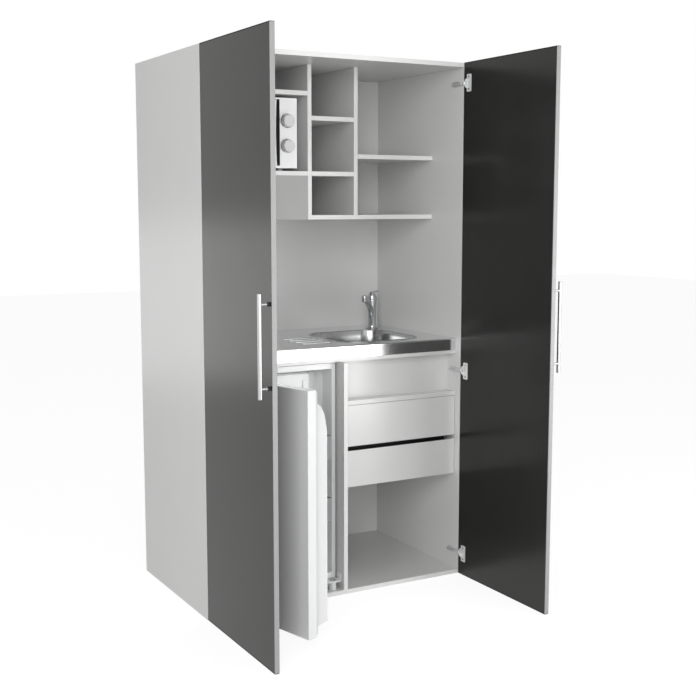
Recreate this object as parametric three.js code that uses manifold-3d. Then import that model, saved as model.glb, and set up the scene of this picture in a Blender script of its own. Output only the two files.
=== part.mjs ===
// A cupboard kitchenette: a tall cabinet whose two doors hide a steel worktop with a sink and two
// hotplates, a small refrigerator, two drawers, and a wall unit with shelves and a microwave oven.
//
// Millimetres, +Z up. The finished part stands on z = 0 with its origin under the middle of the
// cabinet. Inside the `cabinet` group, x runs from the cabinet's left outer side, y from the front
// edges of its boards towards the back, and z from the floor. The two cupboard doors stand open at
// a right angle and the refrigerator door stands ajar, as the unit is shown.

import * as THREE from "three";
import { mergeVertices } from "three/addons/utils/BufferGeometryUtils.js";
import Module from "manifold-3d";

const wasm = await Module();
wasm.setup();

// ---- Driving dimensions -----------------------------------------------------------------------

// Cabinet boards
const WIDTH = 1040;
const HEIGHT = 1904;
const DEPTH = 612;
const BOARD = 16;
const BACK_BOARD = 12;
const WORKTOP_HEIGHT = 900;

// Clearances
const FIT = 0.3; // between two pieces that seat on each other or turn in each other
const SLIDE_GAP = 2; // beside a drawer front

// Cupboard doors
const DOOR_BOARD = 16;
const DOOR_GAP = 3; // from the boards' front edges to a closed door
const DOOR_MEETING_GAP = 3;
const DOOR_FLOOR_GAP = 2;
const DOOR_EDGE_RADIUS = 2;
const DOOR_OPEN = 90; // degrees, as shown
const HANDLE_LENGTH = 308;
const HANDLE_SPACING = 246;
const HANDLE_BAR = 14;
const HANDLE_POST = 10;
const HANDLE_REACH = 32; // from the door's face to the bar's middle
const HANDLE_FROM_EDGE = 16.5;
const HANDLE_MIDDLE = 988;

// Concealed hinges
const HINGE_HEIGHTS = { lower: 85, middle: WORKTOP_HEIGHT - 117, upper: HEIGHT - 74 };
const CUP_DIAMETER = 35;
const CUP_DEPTH = 12.5;
const CUP_WALL = 1;
const CUP_FROM_EDGE = 3.5;
const CUP_COLLAR = 0.4; // of the cup's rim over its wall
const CUP_PLATE = { width: 27, height: 62, thickness: 1.2 };
const HINGE_PIN_RADIUS = 1.2;
const HINGE_EYE_RADIUS = 2.6;
const HINGE_NECK = 2.4;
const HINGE_NECK_WIDTH = 7;
const HINGE_ARM = { height: 11, width: 13, plateWidth: 18, front: 8, back: 80 };

// Lower cabinet
const FRIDGE_BAY_WIDTH = 512;
const APRON_HEIGHT = 45;
const APRON_SETBACK = 30;
const STEEL_SHEET = 1.5;
const WORKTOP_NOSE = 5;
const WORKTOP_RETURN = 15;
const WORKTOP_SIDE_GAP = 1;
const FASCIA_SETBACK = 84;
const LEDGE_BELOW_WORKTOP = 201;
const STRETCHER_HEIGHT = 13; // of the flat board under the worktop's front edge
const STRETCHER_BEHIND_APRON = 2;

// Drawers
const DRAWER_SETBACK = 30;
const DRAWER_UNDER_LEDGE = 1;
const DRAWER_FRONTS_APART = 16;
const UPPER_FRONT = { height: 149, boxRise: 15, boxHeight: 102 };
const LOWER_FRONT = { height: 133, boxRise: 14, boxHeight: 96 };
const DRAWER_BOX_DEPTH = 384;
const DRAWER_WALL = 12;
const DRAWER_BOTTOM = 4;
const RUNNER_SPACE = 13;
const RUNNER_LEDGE = 24;
const RUNNER_FLANGE = 30;
const RUNNER_SHEET = 1.5;

// Wall unit, from the top board down
const WALL_UNIT_SETBACK = 200;
const MICROWAVE_BAY_WIDTH = 476;
const MIDDLE_BAY_WIDTH = 174;
const TOP_SPACE = 92;
const MICROWAVE_SPACE = 266;
const BLANK_HEIGHT = 140;
const BLANK_RECESS = 10;
const MIDDLE_TOP_SPACE = 178;
const RIGHT_TOP_SPACE = 310;

// Sink
const BOWL_WIDTH = 336;
const BOWL_FROM_RIGHT = 100;
const BOWL_DEPTH = 150;
const BOWL_CORNER = 82;
const BOWL_RIM = 6;
const BOWL_SHEET = 1;
const TAP_LEDGE = 163; // from the bowl's back edge to the cabinet's back board
const BOWL_OVER_FASCIA = 6;
const WASTE_RADIUS = 42;
const WASTE_HOLE_RADIUS = 30;
const PIPE_RADIUS = 20;
const TRAP_DROP = 124; // from the waste pipe down to the trap's lowest bend
const TRAP_REACH = 33; // from the trap's first leg to its lowest bend
const RIB_LENGTH = 118;
const RIB_TO_BOWL = 32;
const RIB_WIDTH = 9;
const RIB_HEIGHT = 2.4;
const RIB_SPACING = 53;
const RIB_COUNT = 4;
const RIB_FROM_FRONT = 114;

// Tap
const TAP_BEHIND_BOWL = 36;
const TAP_FROM_BOWL_RIGHT = 2;
const TAP_HEIGHT = 115;
const TAP_RADIUS = 18;
const TAP_FLANGE_RADIUS = 26;
const TAP_SHANK_RADIUS = 16;
const TAP_BALL_RADIUS = 16;
const TAP_COLLAR = 13;
const SPOUT_REACH = 100;
const SPOUT_RADIUS = 9.5;
const SPOUT_TURN = -138; // degrees from +x
const LEVER_LENGTH = 92;

// Hob
const FRONT_PLATE_RADIUS = 72.5;
const REAR_PLATE_RADIUS = 90;
const PLATES_FROM_LEFT = 176;
const FRONT_PLATE_FROM_APRON = 145;
const PLATES_APART = 205;
const PLATE_RISE = 8;
const PLATE_RIM = 8;
const PLATE_WELL = 30;
const PLATE_HUB = 22;
const HOB_KNOB_RADIUS = 17;
const HOB_KNOB_REACH = 18;
const HOB_KNOBS_FROM_LEFT = 100;
const HOB_KNOBS_APART = 70;
const HOB_SHAFT_RADIUS = 3.5;

// Refrigerator
const FRIDGE_SETBACK = 50;
const FRIDGE_LEFT_GAP = 18;
const FRIDGE_RIGHT_GAP = 6;
const FRIDGE_BACK_GAP = 60;
const FRIDGE_TOP_GAP = 4; // up to the stretcher
const FRIDGE_BASE_HEIGHT = 36;
const FRIDGE_FRAME = { side: 16, top: 20, bottom: 20 };
const FRIDGE_WALL = 40;
const FRIDGE_RECESS = 70; // depth of the wide front part that takes the door's liner
const FRIDGE_BACK_WALL = 40;
const FRIDGE_SHELVES = { lower: 338, upper: 560 };
const GLASS = 5;
const SHELF_LEDGE = 6;
const FRIDGE_DOOR_OPEN = 75; // degrees, as shown
const FRIDGE_DOOR_THICKNESS = 35;
const FRIDGE_DOOR_INSET = 2; // from the refrigerator's side to its door's side
const FRIDGE_PIVOT_IN = { x: 6, y: 12 }; // the door's pin, from its outer corner
const FRIDGE_PIN_RADIUS = 3.5;
const FRIDGE_DOOR_TOP_GAP = 2;
const FRIDGE_DOOR_BOTTOM_RISE = 0;
const HINGE_PLATE_GAP = 1.3;
const GASKET = { inset: 4, width: 12, thickness: 7.7 };
const LINER = { inset: 20, depth: 69, draft: 6, top: 42, bottom: 30, curveHeight: 78, curveDepth: 63 };
const RACK_LEVELS = [104, 330, 540];
const RACK_RETAINER = 62;
const FREEZER = { setback: 80, height: 108, flapWidth: 374, flap: 6, flapHeight: 103, wall: 3 };

// Microwave oven
const MICROWAVE_SETBACK = 15;
const MICROWAVE_WIDTH = 436;
const MICROWAVE_HEIGHT = 245;
const MICROWAVE_DEPTH = 325;
const MICROWAVE_LEFT_GAP = 4.5;
const MICROWAVE_FEET = 10;
const MICROWAVE_PANEL_WIDTH = 67;
const MICROWAVE_DOOR = { thickness: 24, gap: 1.2, side: 3.5, bottom: 11, top: 8 };
const MICROWAVE_PIVOT_IN = { x: 5, y: 10 };
const MICROWAVE_PIN_RADIUS = 2.5;
const MICROWAVE_KNOB_RADIUS = 19;
const MICROWAVE_KNOB_REACH = 22;
const MICROWAVE_KNOB_HEIGHTS = { power: 78, timer: 166 };
const OVEN = { width: 336, height: 198, depth: 270, side: 13.5, bottom: 24 };
const TURNTABLE_RADIUS = 122;

// ---- Finishes ---------------------------------------------------------------------------------

const finish = (color, roughness, metalness) =>
  new THREE.MeshStandardMaterial({ color, roughness, metalness });

const WHITE_BOARD = finish(0xe9e9e8, 0.55, 0);
const ANTHRACITE = finish(0x47484a, 0.18, 0);
const STEEL = finish(0xc9ccce, 0.28, 1);
const CHROME = finish(0xdfe2e4, 0.07, 1);
const HINGE_METAL = finish(0xc4c5c3, 0.35, 1);
const CAST_IRON = finish(0x232425, 0.6, 0.4);
const WHITE_ENAMEL = finish(0xf1f2f2, 0.3, 0);
const WHITE_PLASTIC = finish(0xf3f4f4, 0.38, 0);
const GREY_PLASTIC = finish(0x9b9ea0, 0.45, 0);
const BLACK_PLASTIC = finish(0x1b1c1d, 0.4, 0);
const CLEAR_GLASS = finish(0xd7e4e2, 0.05, 0);

// ---- Solids -----------------------------------------------------------------------------------

const X = new THREE.Vector3(1, 0, 0);
const Y = new THREE.Vector3(0, 1, 0);
const Z = new THREE.Vector3(0, 0, 1);

// An outline drawn in (y, z), (x, z) or (x, y) is carried along x, y or z.
const CARRY = {
  x: new THREE.Matrix4().makeBasis(Y, Z, X),
  y: new THREE.Matrix4().makeBasis(X, Z, Y.clone().negate()),
  z: new THREE.Matrix4(),
};

function solidOf(geometry) {
  const bare = geometry.clone();
  bare.deleteAttribute("normal");
  bare.deleteAttribute("uv");
  const merged = mergeVertices(bare, 1e-4);
  return new wasm.Manifold(
    new wasm.Mesh({
      numProp: 3,
      vertProperties: new Float32Array(merged.attributes.position.array),
      triVerts: new Uint32Array(merged.index.array),
    }),
  );
}

function geometryOf(solid) {
  const mesh = solid.getMesh();
  const indexed = new THREE.BufferGeometry();
  indexed.setAttribute("position", new THREE.BufferAttribute(mesh.vertProperties, 3));
  indexed.setIndex(new THREE.BufferAttribute(mesh.triVerts, 1));
  const faceted = indexed.toNonIndexed();
  faceted.computeVertexNormals();
  return faceted;
}

const join = (first, ...others) => others.reduce((whole, next) => whole.add(next), first);
const cut = (first, ...tools) => tools.reduce((rest, tool) => rest.subtract(tool), first);

function block([x0, x1], [y0, y1], [z0, z1]) {
  const geometry = new THREE.BoxGeometry(x1 - x0, y1 - y0, z1 - z0);
  geometry.translate((x0 + x1) / 2, (y0 + y1) / 2, (z0 + z1) / 2);
  return solidOf(geometry);
}

function prism(axis, outline, [from, to], curveSegments = 4) {
  const geometry = new THREE.ExtrudeGeometry(outline, {
    depth: to - from,
    bevelEnabled: false,
    curveSegments,
  });
  geometry.translate(0, 0, axis === "y" ? -to : from);
  geometry.applyMatrix4(CARRY[axis]);
  return solidOf(geometry);
}

function polygon(points) {
  return new THREE.Shape(points.map(([a, b]) => new THREE.Vector2(a, b)));
}

function roundedRectangle([a0, a1], [b0, b1], radius, Kind = THREE.Shape) {
  const outline = new Kind();
  outline.moveTo(a0 + radius, b0);
  outline.lineTo(a1 - radius, b0);
  outline.absarc(a1 - radius, b0 + radius, radius, -Math.PI / 2, 0);
  outline.lineTo(a1, b1 - radius);
  outline.absarc(a1 - radius, b1 - radius, radius, 0, Math.PI / 2);
  outline.lineTo(a0 + radius, b1);
  outline.absarc(a0 + radius, b1 - radius, radius, Math.PI / 2, Math.PI);
  outline.lineTo(a0, b0 + radius);
  outline.absarc(a0 + radius, b0 + radius, radius, Math.PI, Math.PI * 1.5);
  return outline;
}

// A round rod along an axis. `centre` holds the other two coordinates, in the outline's order.
function rod(axis, [a, b], radius, [from, to], sides = 20) {
  const outline = polygon(
    Array.from({ length: sides }, (_, i) => {
      const angle = (i * 2 * Math.PI) / sides;
      return [a + radius * Math.cos(angle), b + radius * Math.sin(angle)];
    }),
  );
  return prism(axis, outline, [from, to]);
}

// Turns a (radius, height) profile about +z. The profile runs up the outside, from axis to axis.
function turned(profile, [x, y, z], sides = 28) {
  const geometry = new THREE.LatheGeometry(
    profile.map(([radius, height]) => new THREE.Vector2(radius, height)),
    sides,
  );
  geometry.rotateX(Math.PI / 2);
  geometry.translate(x, y, z);
  return solidOf(geometry);
}

// Joins rings of equally many points into one skin. A closed loft returns to its first ring,
// an open one is capped at both ends.
function loft(rings, closed = false) {
  const count = rings[0].length;
  const positions = rings.flat().flatMap((point) => [point.x, point.y, point.z]);
  const faces = [];
  const spans = closed ? rings.length : rings.length - 1;
  for (let r = 0; r < spans; r += 1) {
    const low = r * count;
    const high = ((r + 1) % rings.length) * count;
    for (let i = 0; i < count; i += 1) {
      const next = (i + 1) % count;
      faces.push(low + i, low + next, high + next, low + i, high + next, high + i);
    }
  }
  if (!closed) {
    const last = (rings.length - 1) * count;
    for (let i = 1; i < count - 1; i += 1) {
      faces.push(0, i + 1, i);
      faces.push(last, last + i, last + i + 1);
    }
  }
  const geometry = new THREE.BufferGeometry();
  geometry.setAttribute("position", new THREE.Float32BufferAttribute(positions, 3));
  geometry.setIndex(faces);
  return solidOf(geometry);
}

// A level ring of points round a rounded rectangle, counter-clockwise from above.
function ring([x0, x1], [y0, y1], radius, z, cornerSteps = 6) {
  const corners = [
    [x1 - radius, y0 + radius, -90],
    [x1 - radius, y1 - radius, 0],
    [x0 + radius, y1 - radius, 90],
    [x0 + radius, y0 + radius, 180],
  ];
  return corners.flatMap(([cx, cy, start]) =>
    Array.from({ length: cornerSteps + 1 }, (_, i) => {
      const angle = THREE.MathUtils.degToRad(start + (90 * i) / cornerSteps);
      return new THREE.Vector3(cx + radius * Math.cos(angle), cy + radius * Math.sin(angle), z);
    }),
  );
}

// A flat strip of even thickness along a chain of points.
function strip(points, thickness) {
  const chain = points.map(([a, b]) => new THREE.Vector2(a, b));
  const sideOf = (from, to) => {
    const along = to.clone().sub(from).normalize();
    return new THREE.Vector2(-along.y, along.x);
  };
  const left = [];
  const right = [];
  chain.forEach((point, i) => {
    const before = i > 0 ? sideOf(chain[i - 1], point) : sideOf(point, chain[i + 1]);
    const after = i < chain.length - 1 ? sideOf(point, chain[i + 1]) : before;
    const mitre = before.clone().add(after).normalize();
    mitre.multiplyScalar(thickness / 2 / mitre.dot(before));
    left.push(point.clone().add(mitre));
    right.unshift(point.clone().sub(mitre));
  });
  return new THREE.Shape([...left, ...right]);
}

// ---- Assembly ---------------------------------------------------------------------------------

const kitchenette = new THREE.Group();
const cabinet = new THREE.Group();
cabinet.position.set(-WIDTH / 2, -DEPTH / 2, 0);
kitchenette.add(cabinet);

function piece(name, solid, material, parent = cabinet) {
  const mesh = new THREE.Mesh(geometryOf(solid), material);
  mesh.name = name;
  parent.add(mesh);
  return mesh;
}

// A group whose pieces are modelled shut, in cabinet coordinates, and turned about a vertical pin.
function turnedAbout([x, y], degrees) {
  const pin = new THREE.Group();
  pin.position.set(x, y, 0);
  pin.rotation.z = THREE.MathUtils.degToRad(degrees);
  const shut = new THREE.Group();
  shut.position.set(-x, -y, 0);
  pin.add(shut);
  cabinet.add(pin);
  return shut;
}

// ---- Cabinet boards ---------------------------------------------------------------------------

const innerLeft = BOARD;
const innerRight = WIDTH - BOARD;
const innerBack = DEPTH - BACK_BOARD;
const innerTop = HEIGHT - BOARD;
const dividerLeft = innerLeft + FRIDGE_BAY_WIDTH;
const dividerRight = dividerLeft + BOARD;
const worktopUnderside = WORKTOP_HEIGHT - APRON_HEIGHT;
const stretcher = {
  y: [APRON_SETBACK + STRETCHER_BEHIND_APRON, FASCIA_SETBACK + BOARD],
  z: [worktopUnderside - STRETCHER_HEIGHT, worktopUnderside],
};
const ledgeTop = WORKTOP_HEIGHT - LEDGE_BELOW_WORKTOP;
const drawerFrontBack = DRAWER_SETBACK + BOARD;

// A drawer's front, and the box behind it, from the front's upper edge down.
function drawerUnder(high, { height, boxRise, boxHeight }) {
  const low = high - height;
  return { low, high, boxLow: low + boxRise, boxHigh: low + boxRise + boxHeight };
}

const upperDrawer = drawerUnder(ledgeTop - BOARD - DRAWER_UNDER_LEDGE, UPPER_FRONT);
const lowerDrawer = drawerUnder(upperDrawer.low - DRAWER_FRONTS_APART, LOWER_FRONT);
const drawers = { upper: upperDrawer, lower: lowerDrawer };

// The fixed half of a drawer runner: an L of white sheet steel on a board's face. `inward` is +1
// when the drawer lies to the board's right.
function runner(boardFace, inward, boxLow) {
  const top = boxLow - FIT;
  const at = (reach) => boardFace + inward * reach;
  const outline = polygon([
    [at(0), top - RUNNER_SHEET],
    [at(RUNNER_LEDGE), top - RUNNER_SHEET],
    [at(RUNNER_LEDGE), top],
    [at(RUNNER_SHEET), top],
    [at(RUNNER_SHEET), top + RUNNER_FLANGE],
    [at(0), top + RUNNER_FLANGE],
  ]);
  return prism("y", outline, [drawerFrontBack + 4, drawerFrontBack + DRAWER_BOX_DEPTH]);
}

function withRunners(board, face, inward) {
  const runners = Object.values(drawers).map((drawer) => runner(face, inward, drawer.boxLow));
  return join(board, ...runners);
}

const leftSide = block([0, innerLeft], [0, DEPTH], [0, HEIGHT]);
const rightSide = block([innerRight, WIDTH], [0, DEPTH], [0, HEIGHT]);
const baseDivider = cut(
  block([dividerLeft, dividerRight], [0, innerBack], [BOARD, worktopUnderside]),
  block(
    [dividerLeft - 1, dividerRight + 1],
    [-1, stretcher.y[1]],
    [stretcher.z[0], stretcher.z[1] + 1],
  ),
);
piece("side_panel_left", leftSide, WHITE_BOARD);
piece("side_panel_right", withRunners(rightSide, innerRight, -1), WHITE_BOARD);
piece("base_divider", withRunners(baseDivider, dividerRight, 1), WHITE_BOARD);
piece(
  "top_panel",
  block([innerLeft, innerRight], [0, innerBack], [innerTop, HEIGHT]),
  WHITE_BOARD,
);
piece("bottom_panel", block([innerLeft, innerRight], [0, innerBack], [0, BOARD]), WHITE_BOARD);
piece(
  "back_panel",
  block([innerLeft, innerRight], [innerBack, DEPTH], [0, HEIGHT]),
  WHITE_BOARD,
);

// ---- Wall unit --------------------------------------------------------------------------------

const wallDividerLeft = innerLeft + MICROWAVE_BAY_WIDTH;
const wallDividerRight = wallDividerLeft + BOARD + MIDDLE_BAY_WIDTH;
const overMicrowave = innerTop - TOP_SPACE - BOARD;
const underMicrowave = overMicrowave - MICROWAVE_SPACE - BOARD;
const wallUnitBottom = underMicrowave - BLANK_HEIGHT - BOARD;
const wallUnitDepth = [WALL_UNIT_SETBACK, innerBack];

function shelf(name, [x0, x1], low) {
  piece(name, block([x0, x1], wallUnitDepth, [low, low + BOARD]), WHITE_BOARD);
}

shelf("wall_unit_board", [innerLeft, innerRight], wallUnitBottom);
for (const [name, left] of [
  ["wall_divider_left", wallDividerLeft],
  ["wall_divider_right", wallDividerRight],
]) {
  const span = [wallUnitBottom + BOARD, innerTop];
  piece(name, block([left, left + BOARD], wallUnitDepth, span), WHITE_BOARD);
}
shelf("shelf_over_microwave", [innerLeft, wallDividerLeft], overMicrowave);
shelf("shelf_under_microwave", [innerLeft, wallDividerLeft], underMicrowave);
const middleBay = [wallDividerLeft + BOARD, wallDividerRight];
shelf("shelf_middle_upper", middleBay, innerTop - MIDDLE_TOP_SPACE - BOARD);
shelf("shelf_middle_lower", middleBay, underMicrowave);
shelf(
  "shelf_right",
  [wallDividerRight + BOARD, innerRight],
  innerTop - RIGHT_TOP_SPACE - BOARD,
);
const blankFront = WALL_UNIT_SETBACK + BLANK_RECESS;
piece(
  "blank_panel",
  block(
    [innerLeft, wallDividerLeft],
    [blankFront, blankFront + BOARD],
    [wallUnitBottom + BOARD, underMicrowave],
  ),
  WHITE_BOARD,
);

// ---- Worktop, sink and waste ------------------------------------------------------------------

const bowlRight = innerRight - BOWL_FROM_RIGHT;
const bowlLeft = bowlRight - BOWL_WIDTH;
const bowlFront = FASCIA_SETBACK + BOARD - BOWL_OVER_FASCIA;
const bowlBack = innerBack - TAP_LEDGE;
const bowlMiddle = [(bowlLeft + bowlRight) / 2, (bowlFront + bowlBack) / 2];
const tapAt = [bowlRight - TAP_FROM_BOWL_RIGHT, bowlBack + TAP_BEHIND_BOWL];
const plates = {
  front: {
    at: [PLATES_FROM_LEFT, APRON_SETBACK + FRONT_PLATE_FROM_APRON],
    radius: FRONT_PLATE_RADIUS,
  },
  rear: {
    at: [PLATES_FROM_LEFT, APRON_SETBACK + FRONT_PLATE_FROM_APRON + PLATES_APART],
    radius: REAR_PLATE_RADIUS,
  },
};
const hobKnobs = {
  front: HOB_KNOBS_FROM_LEFT,
  rear: HOB_KNOBS_FROM_LEFT + HOB_KNOBS_APART,
};
const knobHeight = WORKTOP_HEIGHT - APRON_HEIGHT / 2;

// The worktop's side outline, drawn in by `inset`: square behind, and rounded over in front.
function worktopSide(inset) {
  const front = APRON_SETBACK + inset;
  const back = innerBack - WORKTOP_SIDE_GAP - inset;
  const low = worktopUnderside + inset;
  const top = WORKTOP_HEIGHT - inset;
  const nose = WORKTOP_NOSE - inset;
  const side = new THREE.Shape();
  side.moveTo(front, low);
  side.lineTo(back, low);
  side.lineTo(back, top);
  side.lineTo(front + nose, top);
  side.absarc(front + nose, top - nose, nose, Math.PI / 2, Math.PI, false);
  return side;
}

// A tray of folded sheet, open below between its front and back returns.
function worktop() {
  const left = innerLeft + WORKTOP_SIDE_GAP;
  const right = innerRight - WORKTOP_SIDE_GAP;
  const inside = [left + STEEL_SHEET, right - STEEL_SHEET];
  const tray = cut(
    prism("x", worktopSide(0), [left, right]),
    prism("x", worktopSide(STEEL_SHEET), inside),
    block(
      inside,
      [APRON_SETBACK + WORKTOP_RETURN, innerBack - WORKTOP_SIDE_GAP - WORKTOP_RETURN],
      [worktopUnderside - 1, worktopUnderside + STEEL_SHEET + 1],
    ),
  );
  const ribs = Array.from({ length: RIB_COUNT }, (_, i) => {
    const y = APRON_SETBACK + RIB_FROM_FRONT + i * RIB_SPACING;
    const end = bowlLeft - RIB_TO_BOWL;
    const base = WORKTOP_HEIGHT - STEEL_SHEET / 2;
    const outline = polygon([
      [y - RIB_WIDTH / 2, base],
      [y + RIB_WIDTH / 2, base],
      [y + RIB_WIDTH / 3, WORKTOP_HEIGHT + RIB_HEIGHT * 0.6],
      [y, WORKTOP_HEIGHT + RIB_HEIGHT],
      [y - RIB_WIDTH / 3, WORKTOP_HEIGHT + RIB_HEIGHT * 0.6],
    ]);
    return prism("x", outline, [end - RIB_LENGTH, end]);
  });
  const through = [WORKTOP_HEIGHT - 10, WORKTOP_HEIGHT + 10];
  const bowlHole = prism(
    "z",
    roundedRectangle([bowlLeft, bowlRight], [bowlFront, bowlBack], BOWL_CORNER),
    through,
    7,
  );
  const tapHole = rod("z", tapAt, TAP_SHANK_RADIUS + 1, through);
  const plateHoles = Object.values(plates).map((plate) =>
    rod("z", plate.at, plate.radius - 4, through, 32),
  );
  const knobHoles = Object.values(hobKnobs).map((x) =>
    rod(
      "y",
      [x, knobHeight],
      HOB_SHAFT_RADIUS + 2 * FIT,
      [APRON_SETBACK - 5, APRON_SETBACK + 5],
      16,
    ),
  );
  return cut(join(tray, ...ribs), bowlHole, tapHole, ...plateHoles, ...knobHoles);
}

// The bowl is one pressed skin: a rim that lies on the worktop, walls that draw in a little, a
// wide bottom radius, and a round waste hole.
function sinkBowl() {
  const floor = WORKTOP_HEIGHT - BOWL_DEPTH;
  // [inset from the bowl's edge, height, corner radius] down the inner face
  const inner = [
    [-BOWL_RIM, WORKTOP_HEIGHT + BOWL_SHEET + 0.2, BOWL_CORNER + BOWL_RIM],
    [0.8, WORKTOP_HEIGHT + BOWL_SHEET + 0.2, BOWL_CORNER - 1],
    [3, WORKTOP_HEIGHT - 2, BOWL_CORNER - 3],
    [6, WORKTOP_HEIGHT - 16, BOWL_CORNER - 6],
    [8, WORKTOP_HEIGHT - 46, BOWL_CORNER - 7],
    [14, floor + 34, BOWL_CORNER - 12],
    [22, floor + 13, BOWL_CORNER - 18],
    [42, floor + 4, BOWL_CORNER - 34],
  ];
  const outline = ([inset, z, radius], skin) => {
    const grow = inset - skin;
    return ring(
      [bowlLeft + grow, bowlRight - grow],
      [bowlFront + grow, bowlBack - grow],
      radius + skin,
      z,
    );
  };
  const hole = (radius, z) =>
    ring(
      [bowlMiddle[0] - radius, bowlMiddle[0] + radius],
      [bowlMiddle[1] - radius, bowlMiddle[1] + radius],
      radius,
      z,
    );
  const down = [
    ...inner.map((row) => outline(row, 0)),
    hole(WASTE_RADIUS + 3, floor + 1),
    hole(WASTE_HOLE_RADIUS + FIT, floor - 1),
  ];
  const outer = inner.map(([inset, z, radius], i) => {
    const under = i < 2 ? WORKTOP_HEIGHT + 0.2 : z - BOWL_SHEET * Math.min(1, i / 6);
    return i < 2 ? [inset, under, radius, 0] : [inset, under, radius, BOWL_SHEET];
  });
  const up = [
    hole(WASTE_HOLE_RADIUS + FIT, floor - 1 - BOWL_SHEET),
    hole(WASTE_RADIUS + 3, floor - 0.5 - BOWL_SHEET),
    ...outer.reverse().map(([inset, z, radius, skin]) => outline([inset, z, radius], skin)),
  ];
  return loft([...down, ...up], true);
}

// The strainer cup sits in the bowl's hole; below it the pipe runs back under the bowl and dips
// into a trap before it leaves through the back board's side of the cabinet.
function sinkWaste() {
  const floor = WORKTOP_HEIGHT - BOWL_DEPTH;
  const [x, y] = bowlMiddle;
  const cup = turned(
    [
      [0, -46],
      [PIPE_RADIUS + 3, -46],
      [PIPE_RADIUS + 3, -34],
      [WASTE_HOLE_RADIUS, -22],
      [WASTE_HOLE_RADIUS, 0],
      [WASTE_RADIUS - 3, 2],
      [WASTE_RADIUS - 3, 3.4],
      [WASTE_HOLE_RADIUS - 3, 3],
      [WASTE_HOLE_RADIUS - 6, -10],
      [0, -10],
    ],
    [x, y, floor],
    24,
  );
  const back = innerBack - 1;
  const run = floor - 55;
  const trapBehind = drawerFrontBack + DRAWER_BOX_DEPTH + PIPE_RADIUS + 12;
  const trapLeg = run - 0.72 * TRAP_DROP;
  const route = new THREE.CatmullRomCurve3(
    [
      [x, y, floor - 40],
      [x, y + 12, run + 3],
      [x, y + 60, run],
      [x, trapBehind - 30, run],
      [x, trapBehind, run - 28],
      [x, trapBehind + 0.1 * TRAP_REACH, trapLeg],
      [x, trapBehind + TRAP_REACH, run - TRAP_DROP],
      [x, trapBehind + 1.9 * TRAP_REACH, trapLeg],
      [x, trapBehind + 2.2 * TRAP_REACH, run - 40],
      [x, back - 12, run - 22],
      [x, back, run - 22],
    ].map((point) => new THREE.Vector3(...point)),
    false,
    "centripetal",
  );
  const section = polygon(
    Array.from({ length: 12 }, (_, i) => {
      const angle = (i * Math.PI) / 6;
      return [PIPE_RADIUS * Math.cos(angle), PIPE_RADIUS * Math.sin(angle)];
    }),
  );
  const pipe = new THREE.ExtrudeGeometry(section, { steps: 44, extrudePath: route });
  return join(cup, solidOf(pipe));
}

piece("worktop", worktop(), STEEL);
piece("sink_bowl", sinkBowl(), STEEL);
piece("sink_waste", sinkWaste(), CHROME);
// A flat stretcher lies under the worktop's front edge. The fascia board with the ledge over the
// drawers hangs from it.
const fascia = prism(
  "x",
  polygon([
    [stretcher.y[0], ledgeTop - BOARD],
    [FASCIA_SETBACK + BOARD, ledgeTop - BOARD],
    [FASCIA_SETBACK + BOARD, worktopUnderside],
    [FASCIA_SETBACK, worktopUnderside],
    [FASCIA_SETBACK, ledgeTop],
    [stretcher.y[0], ledgeTop],
  ]),
  [dividerRight, innerRight],
);
const flatBoard = block([innerLeft, innerRight], stretcher.y, stretcher.z);
piece("sink_fascia", join(fascia, flatBoard), WHITE_BOARD);

// ---- Tap --------------------------------------------------------------------------------------

const ballHeight = WORKTOP_HEIGHT + TAP_HEIGHT + TAP_COLLAR;

function tapBody() {
  const [x, y] = tapAt;
  const column = turned(
    [
      [0, -38],
      [TAP_SHANK_RADIUS, -38],
      [TAP_SHANK_RADIUS, 0],
      [TAP_FLANGE_RADIUS, 0],
      [TAP_FLANGE_RADIUS, 4],
      [TAP_RADIUS + 3.5, 8],
      [TAP_RADIUS + 1, 22],
      [TAP_RADIUS - 0.5, 70],
      [TAP_RADIUS + 1, TAP_HEIGHT - 11],
      [TAP_RADIUS + 1, TAP_HEIGHT],
      [TAP_BALL_RADIUS - 1, TAP_HEIGHT],
      [TAP_BALL_RADIUS - 1, TAP_HEIGHT - 10],
      [0, TAP_HEIGHT - 10],
    ],
    [x, y, WORKTOP_HEIGHT + 0.2],
    28,
  );
  const turn = THREE.MathUtils.degToRad(SPOUT_TURN);
  const out = (reach, height) =>
    new THREE.Vector3(
      x + reach * Math.cos(turn),
      y + reach * Math.sin(turn),
      WORKTOP_HEIGHT + height,
    );
  const route = new THREE.CatmullRomCurve3([
    out(TAP_RADIUS - 12, TAP_HEIGHT - 30),
    out(TAP_RADIUS + 12, TAP_HEIGHT - 17),
    out(SPOUT_REACH * 0.62, TAP_HEIGHT + 6),
    out(SPOUT_REACH, TAP_HEIGHT + 13),
  ]);
  const section = polygon(
    Array.from({ length: 16 }, (_, i) => {
      const angle = (i * Math.PI) / 8;
      return [SPOUT_RADIUS * Math.cos(angle), 1.1 * SPOUT_RADIUS * Math.sin(angle)];
    }),
  );
  const spout = new THREE.ExtrudeGeometry(section, { steps: 10, extrudePath: route });
  const end = out(SPOUT_REACH, 0);
  const outlet = turned(
    [
      [0, TAP_HEIGHT + 1],
      [7.5, TAP_HEIGHT + 1],
      [7.5, TAP_HEIGHT],
      [10.5, TAP_HEIGHT],
      [11.5, TAP_HEIGHT + 11],
      [11, TAP_HEIGHT + 19],
      [8, TAP_HEIGHT + 24],
      [0, TAP_HEIGHT + 25.5],
    ],
    [end.x, end.y, WORKTOP_HEIGHT],
    24,
  );
  return join(column, solidOf(spout), outlet);
}

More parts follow.
